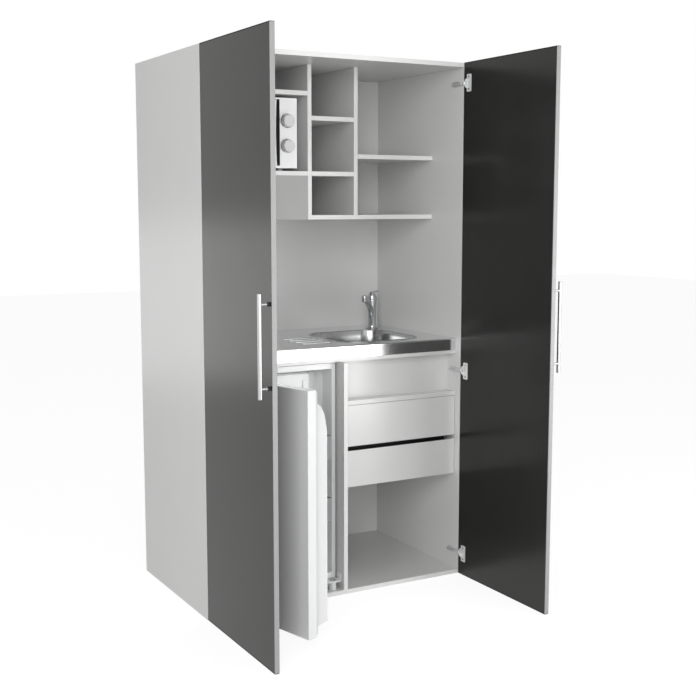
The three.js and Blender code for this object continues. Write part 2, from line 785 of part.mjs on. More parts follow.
// The turning collar holds the lever's ball in a round seat, and its skirt sits in the body's top.
function tapCap() {
  const seat = TAP_BALL_RADIUS + FIT;
  const low = -TAP_COLLAR + FIT;
  const skirt = TAP_BALL_RADIUS - 1 - FIT;
  const arc = Array.from({ length: 5 }, (_, i) => {
    const height = (low * i) / 4;
    return [Math.sqrt(seat * seat - height * height), height];
  });
  const profile = [
    [skirt - 2, low - 8],
    [skirt, low - 8],
    [skirt, low],
    [TAP_RADIUS + 1, low],
    [TAP_RADIUS + 1, 0],
    ...arc,
  ];
  profile.push(profile[0]);
  return turned(profile, [...tapAt, ballHeight], 28);
}

// A ball that is cut off below, with a flat, slowly widening lever.
function tapLever() {
  const low = Math.asin(-7 / TAP_BALL_RADIUS);
  const ball = Array.from({ length: 9 }, (_, i) => {
    const angle = low + ((Math.PI / 2 - low) * i) / 8;
    return [TAP_BALL_RADIUS * Math.cos(angle), TAP_BALL_RADIUS * Math.sin(angle)];
  });
  ball[8][0] = 0;
  const head = turned([[0, ball[0][1]], ...ball], [0, 0, 0], 24);
  const side = polygon([
    [8, 2.2],
    [20, 2.6],
    [LEVER_LENGTH - 10, 15],
    [LEVER_LENGTH, 18],
    [LEVER_LENGTH - 1, 22],
    [LEVER_LENGTH - 14, 20.4],
    [8, 8.5],
  ]);
  const plan = new THREE.Shape();
  plan.moveTo(0, -5);
  plan.lineTo(LEVER_LENGTH - 7, -6.5);
  plan.absarc(LEVER_LENGTH - 6.5, 0, 6.5, -Math.PI / 2, Math.PI / 2);
  plan.lineTo(0, 5);
  const stick = prism("y", side, [-8, 8]).intersect(prism("z", plan, [0, 40], 5));
  return join(head, stick);
}

piece("tap_body", tapBody(), CHROME);
piece("tap_cap", tapCap(), CHROME);
const lever = piece("tap_lever", tapLever(), CHROME);
lever.position.set(...tapAt, ballHeight);
lever.rotation.z = THREE.MathUtils.degToRad(SPOUT_TURN + 180);

// ---- Hob --------------------------------------------------------------------------------------

function hotplate({ at, radius }) {
  const rim = WORKTOP_HEIGHT + 0.2;
  return turned(
    [
      [0, -PLATE_WELL],
      [radius - 12, -PLATE_WELL],
      [radius - 6, 6 - PLATE_WELL],
      [radius - 6, 0],
      [radius + PLATE_RIM, 0],
      [radius + PLATE_RIM - 1, 2.6],
      [radius + 1, 3.4],
      [radius, PLATE_RISE - 1],
      [radius - 1, PLATE_RISE],
      [PLATE_HUB, PLATE_RISE],
      [PLATE_HUB - 2, PLATE_RISE - 2],
      [0, PLATE_RISE - 2],
    ],
    [...at, rim],
    36,
  );
}

// A knob with its face towards -y at the origin, a raised grip bar and a shaft behind it.
function knob(radius, reach, shaftRadius, shaftLength) {
  const body = turned(
    [
      [0, 0],
      [radius, 0],
      [radius, 3],
      [radius - 3, 5],
      [radius - 4.5, reach - 5],
      [radius - 6, reach - 4],
      [0, reach - 4],
    ],
    [0, 0, 0],
    28,
  );
  const grip = block([-2.6, 2.6], [-radius + 5, radius - 5], [reach - 6, reach]);
  const shaft = turned(
    [
      [0, -shaftLength],
      [shaftRadius, -shaftLength],
      [shaftRadius, 1],
      [0, 1],
    ],
    [0, 0, 0],
    12,
  );
  return join(body, grip, shaft).rotate([90, 0, 0]);
}

for (const [name, plate] of Object.entries(plates)) {
  piece(`hotplate_${name}`, hotplate(plate), CAST_IRON);
}
for (const [name, x] of Object.entries(hobKnobs)) {
  const mesh = piece(
    `hob_knob_${name}`,
    knob(HOB_KNOB_RADIUS, HOB_KNOB_REACH, HOB_SHAFT_RADIUS, 14),
    BLACK_PLASTIC,
  );
  mesh.position.set(x, APRON_SETBACK - FIT, knobHeight);
}

// ---- Refrigerator -----------------------------------------------------------------------------

const fridgeLeft = innerLeft + FRIDGE_LEFT_GAP;
const fridgeRight = dividerLeft - FRIDGE_RIGHT_GAP;
const fridgeBack = innerBack - FRIDGE_BACK_GAP;
const fridgeLow = BOARD + FRIDGE_BASE_HEIGHT;
const fridgeTop = stretcher.z[0] - FRIDGE_TOP_GAP;
const fridgeDoorLeft = fridgeLeft + FRIDGE_DOOR_INSET;
const fridgeDoorRight = fridgeRight - FRIDGE_DOOR_INSET;
const fridgeDoorLow = fridgeLow + FRIDGE_DOOR_BOTTOM_RISE;
const fridgeDoorTop = fridgeTop - FRIDGE_DOOR_TOP_GAP;
const fridgeDoorBack = FRIDGE_SETBACK - GASKET.thickness - FIT;
const fridgeDoorFront = fridgeDoorBack - FRIDGE_DOOR_THICKNESS;
const fridgePin = [fridgeDoorLeft + FRIDGE_PIVOT_IN.x, fridgeDoorFront + FRIDGE_PIVOT_IN.y];
const fridgeOpening = {
  x: [fridgeLeft + FRIDGE_FRAME.side, fridgeRight - FRIDGE_FRAME.side],
  z: [fridgeLow + FRIDGE_FRAME.bottom, fridgeTop - FRIDGE_FRAME.top],
};
const fridgeStep = FRIDGE_WALL - FRIDGE_FRAME.side;
const fridgeInside = {
  x: [fridgeOpening.x[0] + fridgeStep, fridgeOpening.x[1] - fridgeStep],
  y: [FRIDGE_SETBACK + FRIDGE_RECESS + 20, fridgeBack - FRIDGE_BACK_WALL],
  z: [fridgeOpening.z[0] + fridgeStep, fridgeOpening.z[1] - 18],
};

// A foamed housing with a wide front recess, a slope, and a narrower inner chamber with ledges
// for the glass shelves. The upper hinge plate reaches over the door.
function fridgeCabinet() {
  const { x, y, z } = fridgeInside;
  const outer = prism(
    "z",
    roundedRectangle([fridgeLeft, fridgeRight], [FRIDGE_SETBACK, fridgeBack], 4),
    [fridgeLow, fridgeTop],
    2,
  );
  const recessBack = FRIDGE_SETBACK + FRIDGE_RECESS;
  const recess = block(fridgeOpening.x, [FRIDGE_SETBACK - 1, recessBack], fridgeOpening.z);
  const frame = ([x0, x1], depth, [z0, z1]) => [
    new THREE.Vector3(x0, depth, z0),
    new THREE.Vector3(x1, depth, z0),
    new THREE.Vector3(x1, depth, z1),
    new THREE.Vector3(x0, depth, z1),
  ];
  const slope = loft(
    [frame(fridgeOpening.x, recessBack - 0.01, fridgeOpening.z), frame(x, y[0], z)].reverse(),
  );
  const chamber = block(x, [y[0] - 0.01, y[1]], z);
  const ledges = Object.values(FRIDGE_SHELVES).flatMap((level) =>
    [
      [x[0] - 1, x[0] + SHELF_LEDGE],
      [x[1] - SHELF_LEDGE, x[1] + 1],
    ].map((side) => block(side, [y[0] + 20, y[1] + 1], [level - 8, level])),
  );
  const plateLow = fridgeDoorTop + HINGE_PLATE_GAP;
  const hingePlate = block(
    [fridgePin[0] - 8, fridgePin[0] + 24],
    [fridgeDoorFront + 2, FRIDGE_SETBACK + 30],
    [plateLow, fridgeTop + 3],
  );
  const pin = rod("z", fridgePin, FRIDGE_PIN_RADIUS, [fridgeDoorTop - 10, plateLow + 1], 12);
  return join(cut(outer, recess, slope, chamber), ...ledges, hingePlate, pin);
}

// A steel base frame. Its front feet stand under two brackets, and the left one carries the
// door's lower pin with a bearing washer.
function fridgeBase() {
  const frameFront = FRIDGE_SETBACK + 14;
  const outer = block(
    [fridgeLeft + 6, fridgeRight - 6],
    [frameFront, fridgeBack - 10],
    [BOARD, fridgeLow],
  );
  const open = block(
    [fridgeLeft + 24, fridgeRight - 24],
    [frameFront + 18, fridgeBack - 28],
    [BOARD - 1, fridgeLow + 1],
  );
  const feet = [fridgeLeft, fridgeRight - 50].flatMap((left) => [
    block(
      [left, left + 50],
      [fridgeDoorFront + 5, frameFront + 4],
      [fridgeLow - 7, fridgeLow - 3],
    ),
    rod(
      "z",
      [left + 25, fridgeDoorFront + 22],
      13,
      [BOARD, fridgeLow - 6],
      16,
    ),
  ]);
  const washer = rod("z", fridgePin, 5, [fridgeLow - 4, fridgeDoorLow - FIT], 16);
  const pin = rod("z", fridgePin, FRIDGE_PIN_RADIUS, [fridgeLow - 4, fridgeDoorLow + 12], 12);
  return join(cut(outer, open), ...feet, washer, pin);
}

// A box that is open to the front, with two ears for the flap's pins. It hangs from the ceiling.
function freezerBox() {
  const { x, y, z } = fridgeInside;
  const top = z[1] - FIT;
  const low = top - FREEZER.height;
  const front = FRIDGE_SETBACK + FREEZER.setback;
  const wall = FREEZER.wall;
  const box = block(
    [x[0] + FIT, x[1] - FIT],
    [front, y[1] - 20],
    [low, top],
  );
  const space = block(
    [x[0] + 8, flapX[1] - 6],
    [front - 1, y[1] - 20 - wall],
    [low + wall, top - 10],
  );
  const ears = [flapX[0] - 3.7, flapX[1] + 0.7].map((left) =>
    cut(
      block([left, left + 3], [flapPin.y - 4, front + 0.5], [flapPin.z - 4, flapPin.z + 4]),
      rod("x", [flapPin.y, flapPin.z], 1.8, [left - 1, left + 4], 12),
    ),
  );
  return join(cut(box, space), ...ears);
}

const flapX = [fridgeInside.x[0] + 4, fridgeInside.x[0] + 4 + FREEZER.flapWidth];
const flapPin = {
  y: FRIDGE_SETBACK + FREEZER.setback - FIT - FREEZER.flap / 2,
  z: fridgeInside.z[1] - FIT - 6,
};

// The flap turns about its rounded top edge on two short pins. Its catch is a raised grip.
function freezerFlap() {
  const half = FREEZER.flap / 2;
  const section = new THREE.Shape();
  section.moveTo(flapPin.y - half, flapPin.z - FREEZER.flapHeight);
  section.lineTo(flapPin.y + half, flapPin.z - FREEZER.flapHeight);
  section.lineTo(flapPin.y + half, flapPin.z);
  section.absarc(flapPin.y, flapPin.z, half, 0, Math.PI);
  const panel = prism("x", section, flapX, 5);
  const pins = rod(
    "x",
    [flapPin.y, flapPin.z],
    1.5,
    [flapX[0] - 3.5, flapX[1] + 3.5],
    10,
  );
  const grip = block(
    [flapX[1] - 24, flapX[1] - 6],
    [flapPin.y - half - 4, flapPin.y - half + 1],
    [flapPin.z - 62, flapPin.z - 22],
  );
  return join(panel, pins, grip);
}

piece("fridge_cabinet", fridgeCabinet(), WHITE_ENAMEL);
piece("fridge_base", fridgeBase(), GREY_PLASTIC);
for (const [name, level] of Object.entries(FRIDGE_SHELVES)) {
  const { x, y } = fridgeInside;
  const plate = block([x[0] + FIT, x[1] - FIT], [y[0] + 22, y[1] - 6], [level, level + GLASS]);
  piece(`fridge_shelf_${name}`, plate, CLEAR_GLASS);
}
piece("freezer_box", freezerBox(), WHITE_PLASTIC);
piece("freezer_flap", freezerFlap(), WHITE_PLASTIC);

// Refrigerator door, modelled shut
function fridgeDoorShell() {
  const slab = prism(
    "z",
    roundedRectangle(
      [fridgeDoorLeft, fridgeDoorRight],
      [fridgeDoorFront, fridgeDoorBack],
      3,
    ),
    [fridgeDoorLow, fridgeDoorTop],
    3,
  );
  const bore = FRIDGE_PIN_RADIUS + FIT;
  return cut(
    slab,
    rod("z", fridgePin, bore, [fridgeDoorTop - 12, fridgeDoorTop + 1], 16),
    rod("z", fridgePin, bore, [fridgeDoorLow - 1, fridgeDoorLow + 14], 16),
  );
}

function fridgeDoorGasket() {
  const inset = GASKET.inset;
  const outline = (extra, Kind) =>
    roundedRectangle(
      [fridgeDoorLeft + inset + extra, fridgeDoorRight - inset - extra],
      [fridgeDoorLow + inset + extra, fridgeDoorTop - inset - extra],
      8,
      Kind,
    );
  const frame = outline(0, THREE.Shape);
  frame.holes.push(outline(GASKET.width, THREE.Path));
  return prism(
    "y",
    frame,
    [fridgeDoorBack + FIT, fridgeDoorBack + FIT + GASKET.thickness - FIT],
    3,
  );
}

// The liner's side outline is straight below and rounds back to the door under its top, and its
// sides draw in away from the door. Moulded racks with retainers are hollowed out of it, one above
// the other.
function fridgeDoorLiner() {
  const back = fridgeDoorBack + FIT;
  const proud = back + LINER.depth;
  const low = fridgeDoorLow + LINER.bottom;
  const top = fridgeDoorTop - LINER.top;
  const side = new THREE.Shape();
  side.moveTo(back, low - 8);
  side.lineTo(proud, low);
  side.lineTo(proud, top - LINER.curveHeight - 18);
  side.lineTo(proud - 4, top - LINER.curveHeight);
  side.absellipse(
    back,
    top - LINER.curveHeight,
    LINER.curveDepth,
    LINER.curveHeight,
    0,
    Math.PI / 2,
    false,
  );
  const x = [fridgeDoorLeft + LINER.inset, fridgeDoorRight - LINER.inset];
  const plan = polygon([
    [x[0], back],
    [x[1], back],
    [x[1] - LINER.draft, proud],
    [x[0] + LINER.draft, proud],
  ]);
  const body = prism("x", side, x, 8).intersect(prism("z", plan, [low - 10, top + 10]));
  const pocketX = [x[0] + 22, x[1] - 22];
  const pockets = RACK_LEVELS.flatMap((level, i) => {
    const ceiling = i < RACK_LEVELS.length - 1 ? RACK_LEVELS[i + 1] - 8 : top - 6;
    return [
      block(pocketX, [back + 4, proud - 3], [level, ceiling]),
      block(pocketX, [proud - 4, proud + 1], [level + RACK_RETAINER, ceiling]),
    ];
  });
  return cut(body, ...pockets);
}

const fridgeDoor = turnedAbout(fridgePin, -FRIDGE_DOOR_OPEN);
piece("fridge_door_shell", fridgeDoorShell(), WHITE_ENAMEL, fridgeDoor);
piece("fridge_door_gasket", fridgeDoorGasket(), WHITE_PLASTIC, fridgeDoor);
piece("fridge_door_liner", fridgeDoorLiner(), WHITE_PLASTIC, fridgeDoor);

// ---- Drawers ----------------------------------------------------------------------------------

function drawerBox({ boxLow, boxHigh }) {
  const x = [dividerRight + RUNNER_SPACE, innerRight - RUNNER_SPACE];
  const y = [drawerFrontBack + FIT, drawerFrontBack + DRAWER_BOX_DEPTH];
  const space = block(
    [x[0] + DRAWER_WALL, x[1] - DRAWER_WALL],
    [y[0] + DRAWER_WALL, y[1] - DRAWER_WALL],
    [boxLow + DRAWER_BOTTOM, boxHigh + 1],
  );
  return cut(block(x, y, [boxLow, boxHigh]), space);
}

for (const [name, drawer] of Object.entries(drawers)) {
  const front = block(
    [dividerRight + SLIDE_GAP, innerRight - SLIDE_GAP],
    [DRAWER_SETBACK, drawerFrontBack],
    [drawer.low, drawer.high],
  );
  piece(`drawer_${name}_front`, front, WHITE_BOARD);
  piece(`drawer_${name}_box`, drawerBox(drawer), WHITE_BOARD);
}

// ---- Microwave oven ---------------------------------------------------------------------------

const microwaveLeft = innerLeft + MICROWAVE_LEFT_GAP;
const microwaveRight = microwaveLeft + MICROWAVE_WIDTH;
const microwaveFront = WALL_UNIT_SETBACK + MICROWAVE_SETBACK;
const microwaveBack = microwaveFront + MICROWAVE_DEPTH;
const microwaveStand = underMicrowave + BOARD;
const microwaveLow = microwaveStand + MICROWAVE_FEET;
const microwaveTop = microwaveLow + MICROWAVE_HEIGHT;
const ovenFace = microwaveFront + MICROWAVE_DOOR.thickness + MICROWAVE_DOOR.gap;
const panelLeft = microwaveRight - MICROWAVE_PANEL_WIDTH;
const knobX = microwaveRight - 38;
const oven = {
  x: [microwaveLeft + OVEN.side, microwaveLeft + OVEN.side + OVEN.width],
  y: [ovenFace, ovenFace + OVEN.depth],
  z: [microwaveLow + OVEN.bottom, microwaveLow + OVEN.bottom + OVEN.height],
};
const turntableAt = [(oven.x[0] + oven.x[1]) / 2, (oven.y[0] + oven.y[1]) / 2];
const microwaveDoorX = [microwaveLeft + MICROWAVE_DOOR.side, panelLeft - MICROWAVE_DOOR.gap];
const microwaveDoorY = [microwaveFront, microwaveFront + MICROWAVE_DOOR.thickness];
const microwaveDoorZ = [
  microwaveLow + MICROWAVE_DOOR.bottom,
  microwaveTop - MICROWAVE_DOOR.top,
];
const microwavePin = [
  microwaveDoorX[0] + MICROWAVE_PIVOT_IN.x,
  microwaveDoorY[0] + MICROWAVE_PIVOT_IN.y,
];

// The oven chamber is open to the front. A rail under the door and one over it hold its pins.
function microwaveCasing() {
  const z = [microwaveLow, microwaveTop];
  const wrap = prism(
    "y",
    roundedRectangle([microwaveLeft, microwaveRight], z, 4),
    [ovenFace, microwaveBack],
    2,
  );
  const panel = block([panelLeft, microwaveRight], [microwaveFront, ovenFace + 1], z);
  const rails = [
    [microwaveLow, microwaveDoorZ[0] - 2],
    [microwaveDoorZ[1] + 2, microwaveTop],
  ].map((height) =>
    block([microwaveLeft, panelLeft + 1], [microwaveFront, ovenFace + 1], height),
  );
  const pinHole = rod(
    "z",
    microwavePin,
    MICROWAVE_PIN_RADIUS + FIT,
    [microwaveDoorZ[0] - 6, microwaveDoorZ[1] + 6],
    12,
  );
  const feet = [microwaveLeft + 40, microwaveRight - 40].flatMap((x) =>
    [microwaveFront + 60, microwaveBack - 50].map((y) =>
      rod("z", [x, y], 10, [microwaveStand, microwaveLow + 1], 12),
    ),
  );
  const chamber = block(oven.x, [ovenFace - 1, oven.y[1]], oven.z);
  const bores = Object.values(MICROWAVE_KNOB_HEIGHTS).map((height) =>
    rod(
      "y",
      [knobX, microwaveLow + height],
      3 + FIT,
      [microwaveFront - 1, microwaveFront + 12],
      12,
    ),
  );
  return cut(join(wrap, panel, ...rails, ...feet), chamber, pinHole, ...bores);
}

// A frame with a recessed window field in front and behind, on a pin through its hinge side.
function microwaveDoor() {
  const [x, y, z] = [microwaveDoorX, microwaveDoorY, microwaveDoorZ];
  const slab = prism("z", roundedRectangle(x, y, 3), z, 3);
  const field = (inset) =>
    roundedRectangle([x[0] + inset, x[1] - inset], [z[0] + inset, z[1] - inset], 10);
  const front = prism("y", field(40), [y[0] - 1, y[0] + 2], 3);
  const rear = prism("y", field(34), [y[1] - 6, y[1] + 1], 3);
  const pin = rod("z", microwavePin, MICROWAVE_PIN_RADIUS, [z[0] - 5.5, z[1] + 5.5], 12);
  return join(cut(slab, front, rear), pin);
}

piece("microwave_casing", microwaveCasing(), WHITE_ENAMEL);
piece("microwave_door", microwaveDoor(), WHITE_PLASTIC);
for (const [name, height] of Object.entries(MICROWAVE_KNOB_HEIGHTS)) {
  const mesh = piece(
    `microwave_knob_${name}`,
    knob(MICROWAVE_KNOB_RADIUS, MICROWAVE_KNOB_REACH, 3, 10),
    WHITE_PLASTIC,
  );
  mesh.position.set(knobX, microwaveFront - FIT, microwaveLow + height);
}
piece(
  "microwave_turntable",
  turned(
    [
      [0, 0],
      [16, 0],
      [16, 8],
      [TURNTABLE_RADIUS - 6, 8],
      [TURNTABLE_RADIUS, 13],
      [TURNTABLE_RADIUS - 2.5, 14],
      [TURNTABLE_RADIUS - 8, 11],
      [0, 11],
    ],
    [...turntableAt, oven.z[0] + FIT],
    36,
  ),
  CLEAR_GLASS,
);

// ---- Cupboard doors and their hinges ----------------------------------------------------------

const doorWidth = (WIDTH - DOOR_MEETING_GAP) / 2;
const doorBack = -DOOR_GAP;
const doorFront = doorBack - DOOR_BOARD;
const hingePinY = doorBack - DOOR_BOARD / 2;
const hingePinIn = DOOR_BOARD / 2; // from the door's hinge edge
const cupRadius = CUP_DIAMETER / 2;
const cupIn = CUP_FROM_EDGE + cupRadius;

// Everything about a door is measured from its hinge edge. `side` is +1 for the left door and -1
// for the right one, so the right door mirrors the left.
function sidePlacer(side) {
  const edge = side > 0 ? 0 : WIDTH;
  const at = (inward) => edge + side * inward;
  const span = (a, b) => [Math.min(at(a), at(b)), Math.max(at(a), at(b))];
  return { at, span };
}

function doorPanel({ at, span }) {
  const panel = prism(
    "z",
    roundedRectangle(span(0, doorWidth), [doorFront, doorBack], DOOR_EDGE_RADIUS),
    [DOOR_FLOOR_GAP, HEIGHT],
    3,
  );
  const bores = Object.values(HINGE_HEIGHTS).map((z) =>
    rod(
      "y",
      [at(cupIn), z],
      cupRadius + FIT,
      [doorBack - CUP_DEPTH - FIT, doorBack + 1],
      28,
    ),
  );
  return cut(panel, ...bores);
}

function barHandle({ at }) {
  const x = at(doorWidth - HANDLE_FROM_EDGE);
  const barY = doorFront - HANDLE_REACH;
  const half = HANDLE_LENGTH / 2;
  const bar = turned(
    [
      [0, -half],
      [HANDLE_BAR / 2 - 1, -half],
      [HANDLE_BAR / 2, -half + 1],
      [HANDLE_BAR / 2, half - 1],
      [HANDLE_BAR / 2 - 1, half],
      [0, half],
    ],
    [x, barY, HANDLE_MIDDLE],
    20,
  );
  const posts = [-1, 1].map((end) =>
    rod(
      "y",
      [x, HANDLE_MIDDLE + (end * HANDLE_SPACING) / 2],
      HANDLE_POST / 2,
      [barY, doorFront - FIT],
      16,
    ),
  );
  return join(bar, ...posts);
}

// The cup sinks into the door; its plate lies on the door's inner face, and the hinge pin
// crosses the cup close to the door's edge.
function hingeCup({ at, span }, z) {
  const face = doorBack + FIT;
  const plateTop = face + CUP_PLATE.thickness;
  const plate = prism(
    "y",
    roundedRectangle(
      span(cupIn - 1, cupIn - 1 + CUP_PLATE.width),
      [z - CUP_PLATE.height / 2, z + CUP_PLATE.height / 2],
      4,
    ),
    [face, plateTop],
    3,
  );
  const collar = rod("y", [at(cupIn), z], cupRadius + CUP_COLLAR, [face, plateTop], 28);
  const cup = rod("y", [at(cupIn), z], cupRadius, [doorBack - CUP_DEPTH, face + 0.5], 28);
  const hollow = rod(
    "y",
    [at(cupIn), z],
    cupRadius - CUP_WALL,
    [doorBack - CUP_DEPTH + CUP_WALL, plateTop + 1],
    28,
  );
  const reach = cupIn - hingePinIn + HINGE_PIN_RADIUS;
  const halfChord = Math.sqrt((cupRadius - CUP_WALL / 2) ** 2 - reach ** 2);
  const pin = rod(
    "z",
    [at(hingePinIn), hingePinY],
    HINGE_PIN_RADIUS,
    [z - halfChord, z + halfChord],
    12,
  );
  return join(cut(join(plate, collar, cup), hollow), pin);
}

// The fixed arm: a mounting plate on the side board, a channel, and a swan neck that dips into
// the cup and ends in an eye round the pin.
function hingeArm({ at, span }, z) {
  const { height, width, plateWidth, front, back } = HINGE_ARM;
  const face = BOARD;
  const half = HINGE_NECK_WIDTH / 2;
  const plate = block(
    span(face, face + 4),
    [front + 12, back - 6],
    [z - plateWidth / 2, z + plateWidth / 2],
  );
  const channel = block(
    span(face + 3, face + height),
    [front, back],
    [z - width / 2, z + width / 2],
  );
  const groove = block(
    span(face + height - 2, face + height + 1),
    [front + 16, back - 8],
    [z - width / 2 + 3, z + width / 2 - 3],
  );
  const neck = prism(
    "z",
    strip(
      [
        [at(hingePinIn + 1.8), hingePinY - 0.6],
        [at(hingePinIn + 12), hingePinY - 0.6],
        [at(hingePinIn + 14.5), hingePinY + 8],
        [at(face + height - 3), front + 3],
      ],
      HINGE_NECK,
    ),
    [z - half, z + half],
  );
  const eye = rod("z", [at(hingePinIn), hingePinY], HINGE_EYE_RADIUS, [z - half, z + half], 16);
  const eyeHole = rod(
    "z",
    [at(hingePinIn), hingePinY],
    HINGE_PIN_RADIUS + FIT,
    [z - half - 1, z + half + 1],
    12,
  );
  return cut(join(plate, channel, neck, eye), groove, eyeHole);
}

for (const [name, side] of [
  ["left", 1],
  ["right", -1],
]) {
  const placer = sidePlacer(side);
  const door = turnedAbout([placer.at(hingePinIn), hingePinY], -side * DOOR_OPEN);
  piece(`${name}_door_panel`, doorPanel(placer), ANTHRACITE, door);
  piece(`${name}_door_handle`, barHandle(placer), STEEL, door);
  for (const [level, z] of Object.entries(HINGE_HEIGHTS)) {
    piece(`${name}_hinge_cup_${level}`, hingeCup(placer, z), HINGE_METAL, door);
    piece(`${name}_hinge_arm_${level}`, hingeArm(placer, z), HINGE_METAL);
  }
}

export default kitchenette;
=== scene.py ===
"""Looks of a cupboard kitchenette: finishes for the model's solids, and finer pieces that stand for them or
sit on them. Shapes are worked out in cabinet millimetres: x from the cabinet's left outer side, y from the
front edges of its boards to the back, z from the floor. Pieces on a door are worked out with the door shut,
then turned open."""

import math
import bmesh
import bpy
import numpy as np
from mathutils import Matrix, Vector


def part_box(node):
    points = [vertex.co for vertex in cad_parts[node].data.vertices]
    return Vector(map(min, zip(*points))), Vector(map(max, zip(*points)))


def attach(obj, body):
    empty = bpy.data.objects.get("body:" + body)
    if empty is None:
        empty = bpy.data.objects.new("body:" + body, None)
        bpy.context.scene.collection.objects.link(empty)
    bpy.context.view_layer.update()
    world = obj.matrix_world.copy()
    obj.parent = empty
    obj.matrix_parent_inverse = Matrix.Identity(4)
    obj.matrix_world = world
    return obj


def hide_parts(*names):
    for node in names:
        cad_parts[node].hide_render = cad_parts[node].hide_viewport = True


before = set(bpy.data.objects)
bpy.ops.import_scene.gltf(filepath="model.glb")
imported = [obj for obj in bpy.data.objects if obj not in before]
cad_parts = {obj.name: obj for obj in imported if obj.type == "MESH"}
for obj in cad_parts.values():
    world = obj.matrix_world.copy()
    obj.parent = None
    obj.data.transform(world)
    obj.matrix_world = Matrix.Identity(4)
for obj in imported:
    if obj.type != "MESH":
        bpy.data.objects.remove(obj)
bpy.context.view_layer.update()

bl_info = {
    "name": "Cupboard kitchenette",
    "version": (1, 0, 0),
    "blender": (4, 5, 0),
    "location": "View3D > Sidebar > Kitchenette",
    "description": "Finishes and fine pieces of a cupboard kitchenette with sink, hob and refrigerator",
    "category": "Object",
}

MM = 0.001
WIDTH, HEIGHT, DEPTH = 1040.0, 1904.0, 612.0
BOARD = 16.0
MIDDLE = np.array([WIDTH / 2, DEPTH / 2, 0.0])

DOOR_WIDTH, DOOR_BACK, DOOR_FRONT, DOOR_LOW = 518.5, -3.0, -19.0, 2.0
HINGE_PIN_IN, HINGE_PIN_Y = 8.0, -11.0
HINGE_LEVELS = {"lower": 85.0, "middle": 783.0, "upper": HEIGHT - 74.0}
FRIDGE_PIN = (42.0, 19.0)
FRIDGE_OPEN = 75.0
WORKTOP = 900.0

SIDES = {"left": 1, "right": -1}


# ---- Surfaces ---------------------------------------------------------------------------------


def surface(points, closed_rows=False, closed_columns=True, cap_first=False, cap_last=False):
    """A grid of points (rows, columns, 3) as (vertices, faces): each face joins four neighbours, rows or
    columns may run round to the first again, and a cap closes the first or last row with one flat face."""
    points = np.asarray(points, float)
    rows, columns = points.shape[:2]
    index = np.arange(rows * columns).reshape(rows, columns)
    if closed_rows:
        index = np.vstack([index, index[:1]])
    if closed_columns:
        index = np.hstack([index, index[:, :1]])
    corners = (index[:-1, :-1], index[:-1, 1:], index[1:, 1:], index[1:, :-1])
    faces = np.stack(corners, -1).reshape(-1, 4).tolist()
    if cap_first:
        faces.append(list(range(columns))[::-1])
    if cap_last:
        faces.append(list(range((rows - 1) * columns, rows * columns)))
    return points.reshape(-1, 3), faces


def together(*surfaces):
    """Several surfaces as one, with the later ones' face numbers moved up."""
    vertices, faces, start = [], [], 0
    for points, some in surfaces:
        vertices.append(points)
        faces.extend([i + start for i in face] for face in some)
        start += len(points)
    return np.vstack(vertices), faces


def moved(shape, by=(0, 0, 0), turn=None, about=(0, 0)):
    """A surface moved by a vector, or turned by degrees about an upright line at (x, y)."""
    points, faces = shape
    points = points + np.asarray(by, float)
    if turn is not None:
        angle = math.radians(turn)
        x, y = points[:, 0] - about[0], points[:, 1] - about[1]
        across = about[0] + x * math.cos(angle) - y * math.sin(angle)
        along = about[1] + x * math.sin(angle) + y * math.cos(angle)
        points = np.stack([across, along, points[:, 2]], 1)
    return points, faces


def facing(shape, at, direction):
    """A surface drawn about +z at the origin, stood at a point with its +z along one of the axes."""
    points, faces = shape
    x, y, z = points.T
    stood = {"+z": (x, y, z), "-y": (x, -z, y), "+y": (x, z, -y), "+x": (z, y, -x)}[direction]
    return np.stack(stood, 1) + np.asarray(at, float), faces


def rounded_box(low, high, radius, steps=3):
    """A box with rounded edges: the directions of a globe of latitudes and longitudes, each moved out to the
    box's corner of its own octant, less the radius, so the globe's equator, meridians and poles open into
    flat faces."""
    low, high = np.asarray(low, float), np.asarray(high, float)
    quarter = np.linspace(0, math.pi / 2, steps + 1)
    longitude = np.concatenate([quarter + k * math.pi / 2 for k in range(4)])
    sign_x = np.repeat([1, -1, -1, 1], steps + 1)
    sign_y = np.repeat([1, 1, -1, -1], steps + 1)
    latitude = np.concatenate([quarter - math.pi / 2, quarter])
    sign_z = np.repeat([-1, 1], steps + 1)
    la, lo = np.meshgrid(latitude, longitude, indexing="ij")
    direction = np.stack([np.cos(la) * np.cos(lo), np.cos(la) * np.sin(lo), np.sin(la)], -1)
    signs = (sign_x, sign_y, sign_z[:, None])
    octant = np.stack([np.broadcast_to(sign, la.shape) for sign in signs], -1)
    points = (low + high) / 2 + octant * ((high - low) / 2 - radius) + radius * direction
    return surface(points, cap_first=True, cap_last=True)


def turned(profile, sides=48, closed=False):
    """A lathe shape about +z: each (radius, height) of the profile goes once round the axis. A closed profile
    runs back to its first point, which makes a ring."""
    profile = np.asarray(profile, float)
    angle = np.linspace(0, 2 * math.pi, sides, endpoint=False)
    radius, height = profile[:, :1], profile[:, 1:]
    heights = np.broadcast_to(height, (len(profile), sides))
    rings = np.stack([radius * np.cos(angle), radius * np.sin(angle), heights], -1)
    return surface(rings, closed_rows=closed)


def extruded(section, ends, axis):
    """A prism: an outline in two axes, drawn from one end to the other along the third (0, 1 or 2)."""
    rings = [np.insert(np.asarray(section, float), axis, at, axis=1) for at in ends]
    return surface(rings, cap_first=True, cap_last=True)


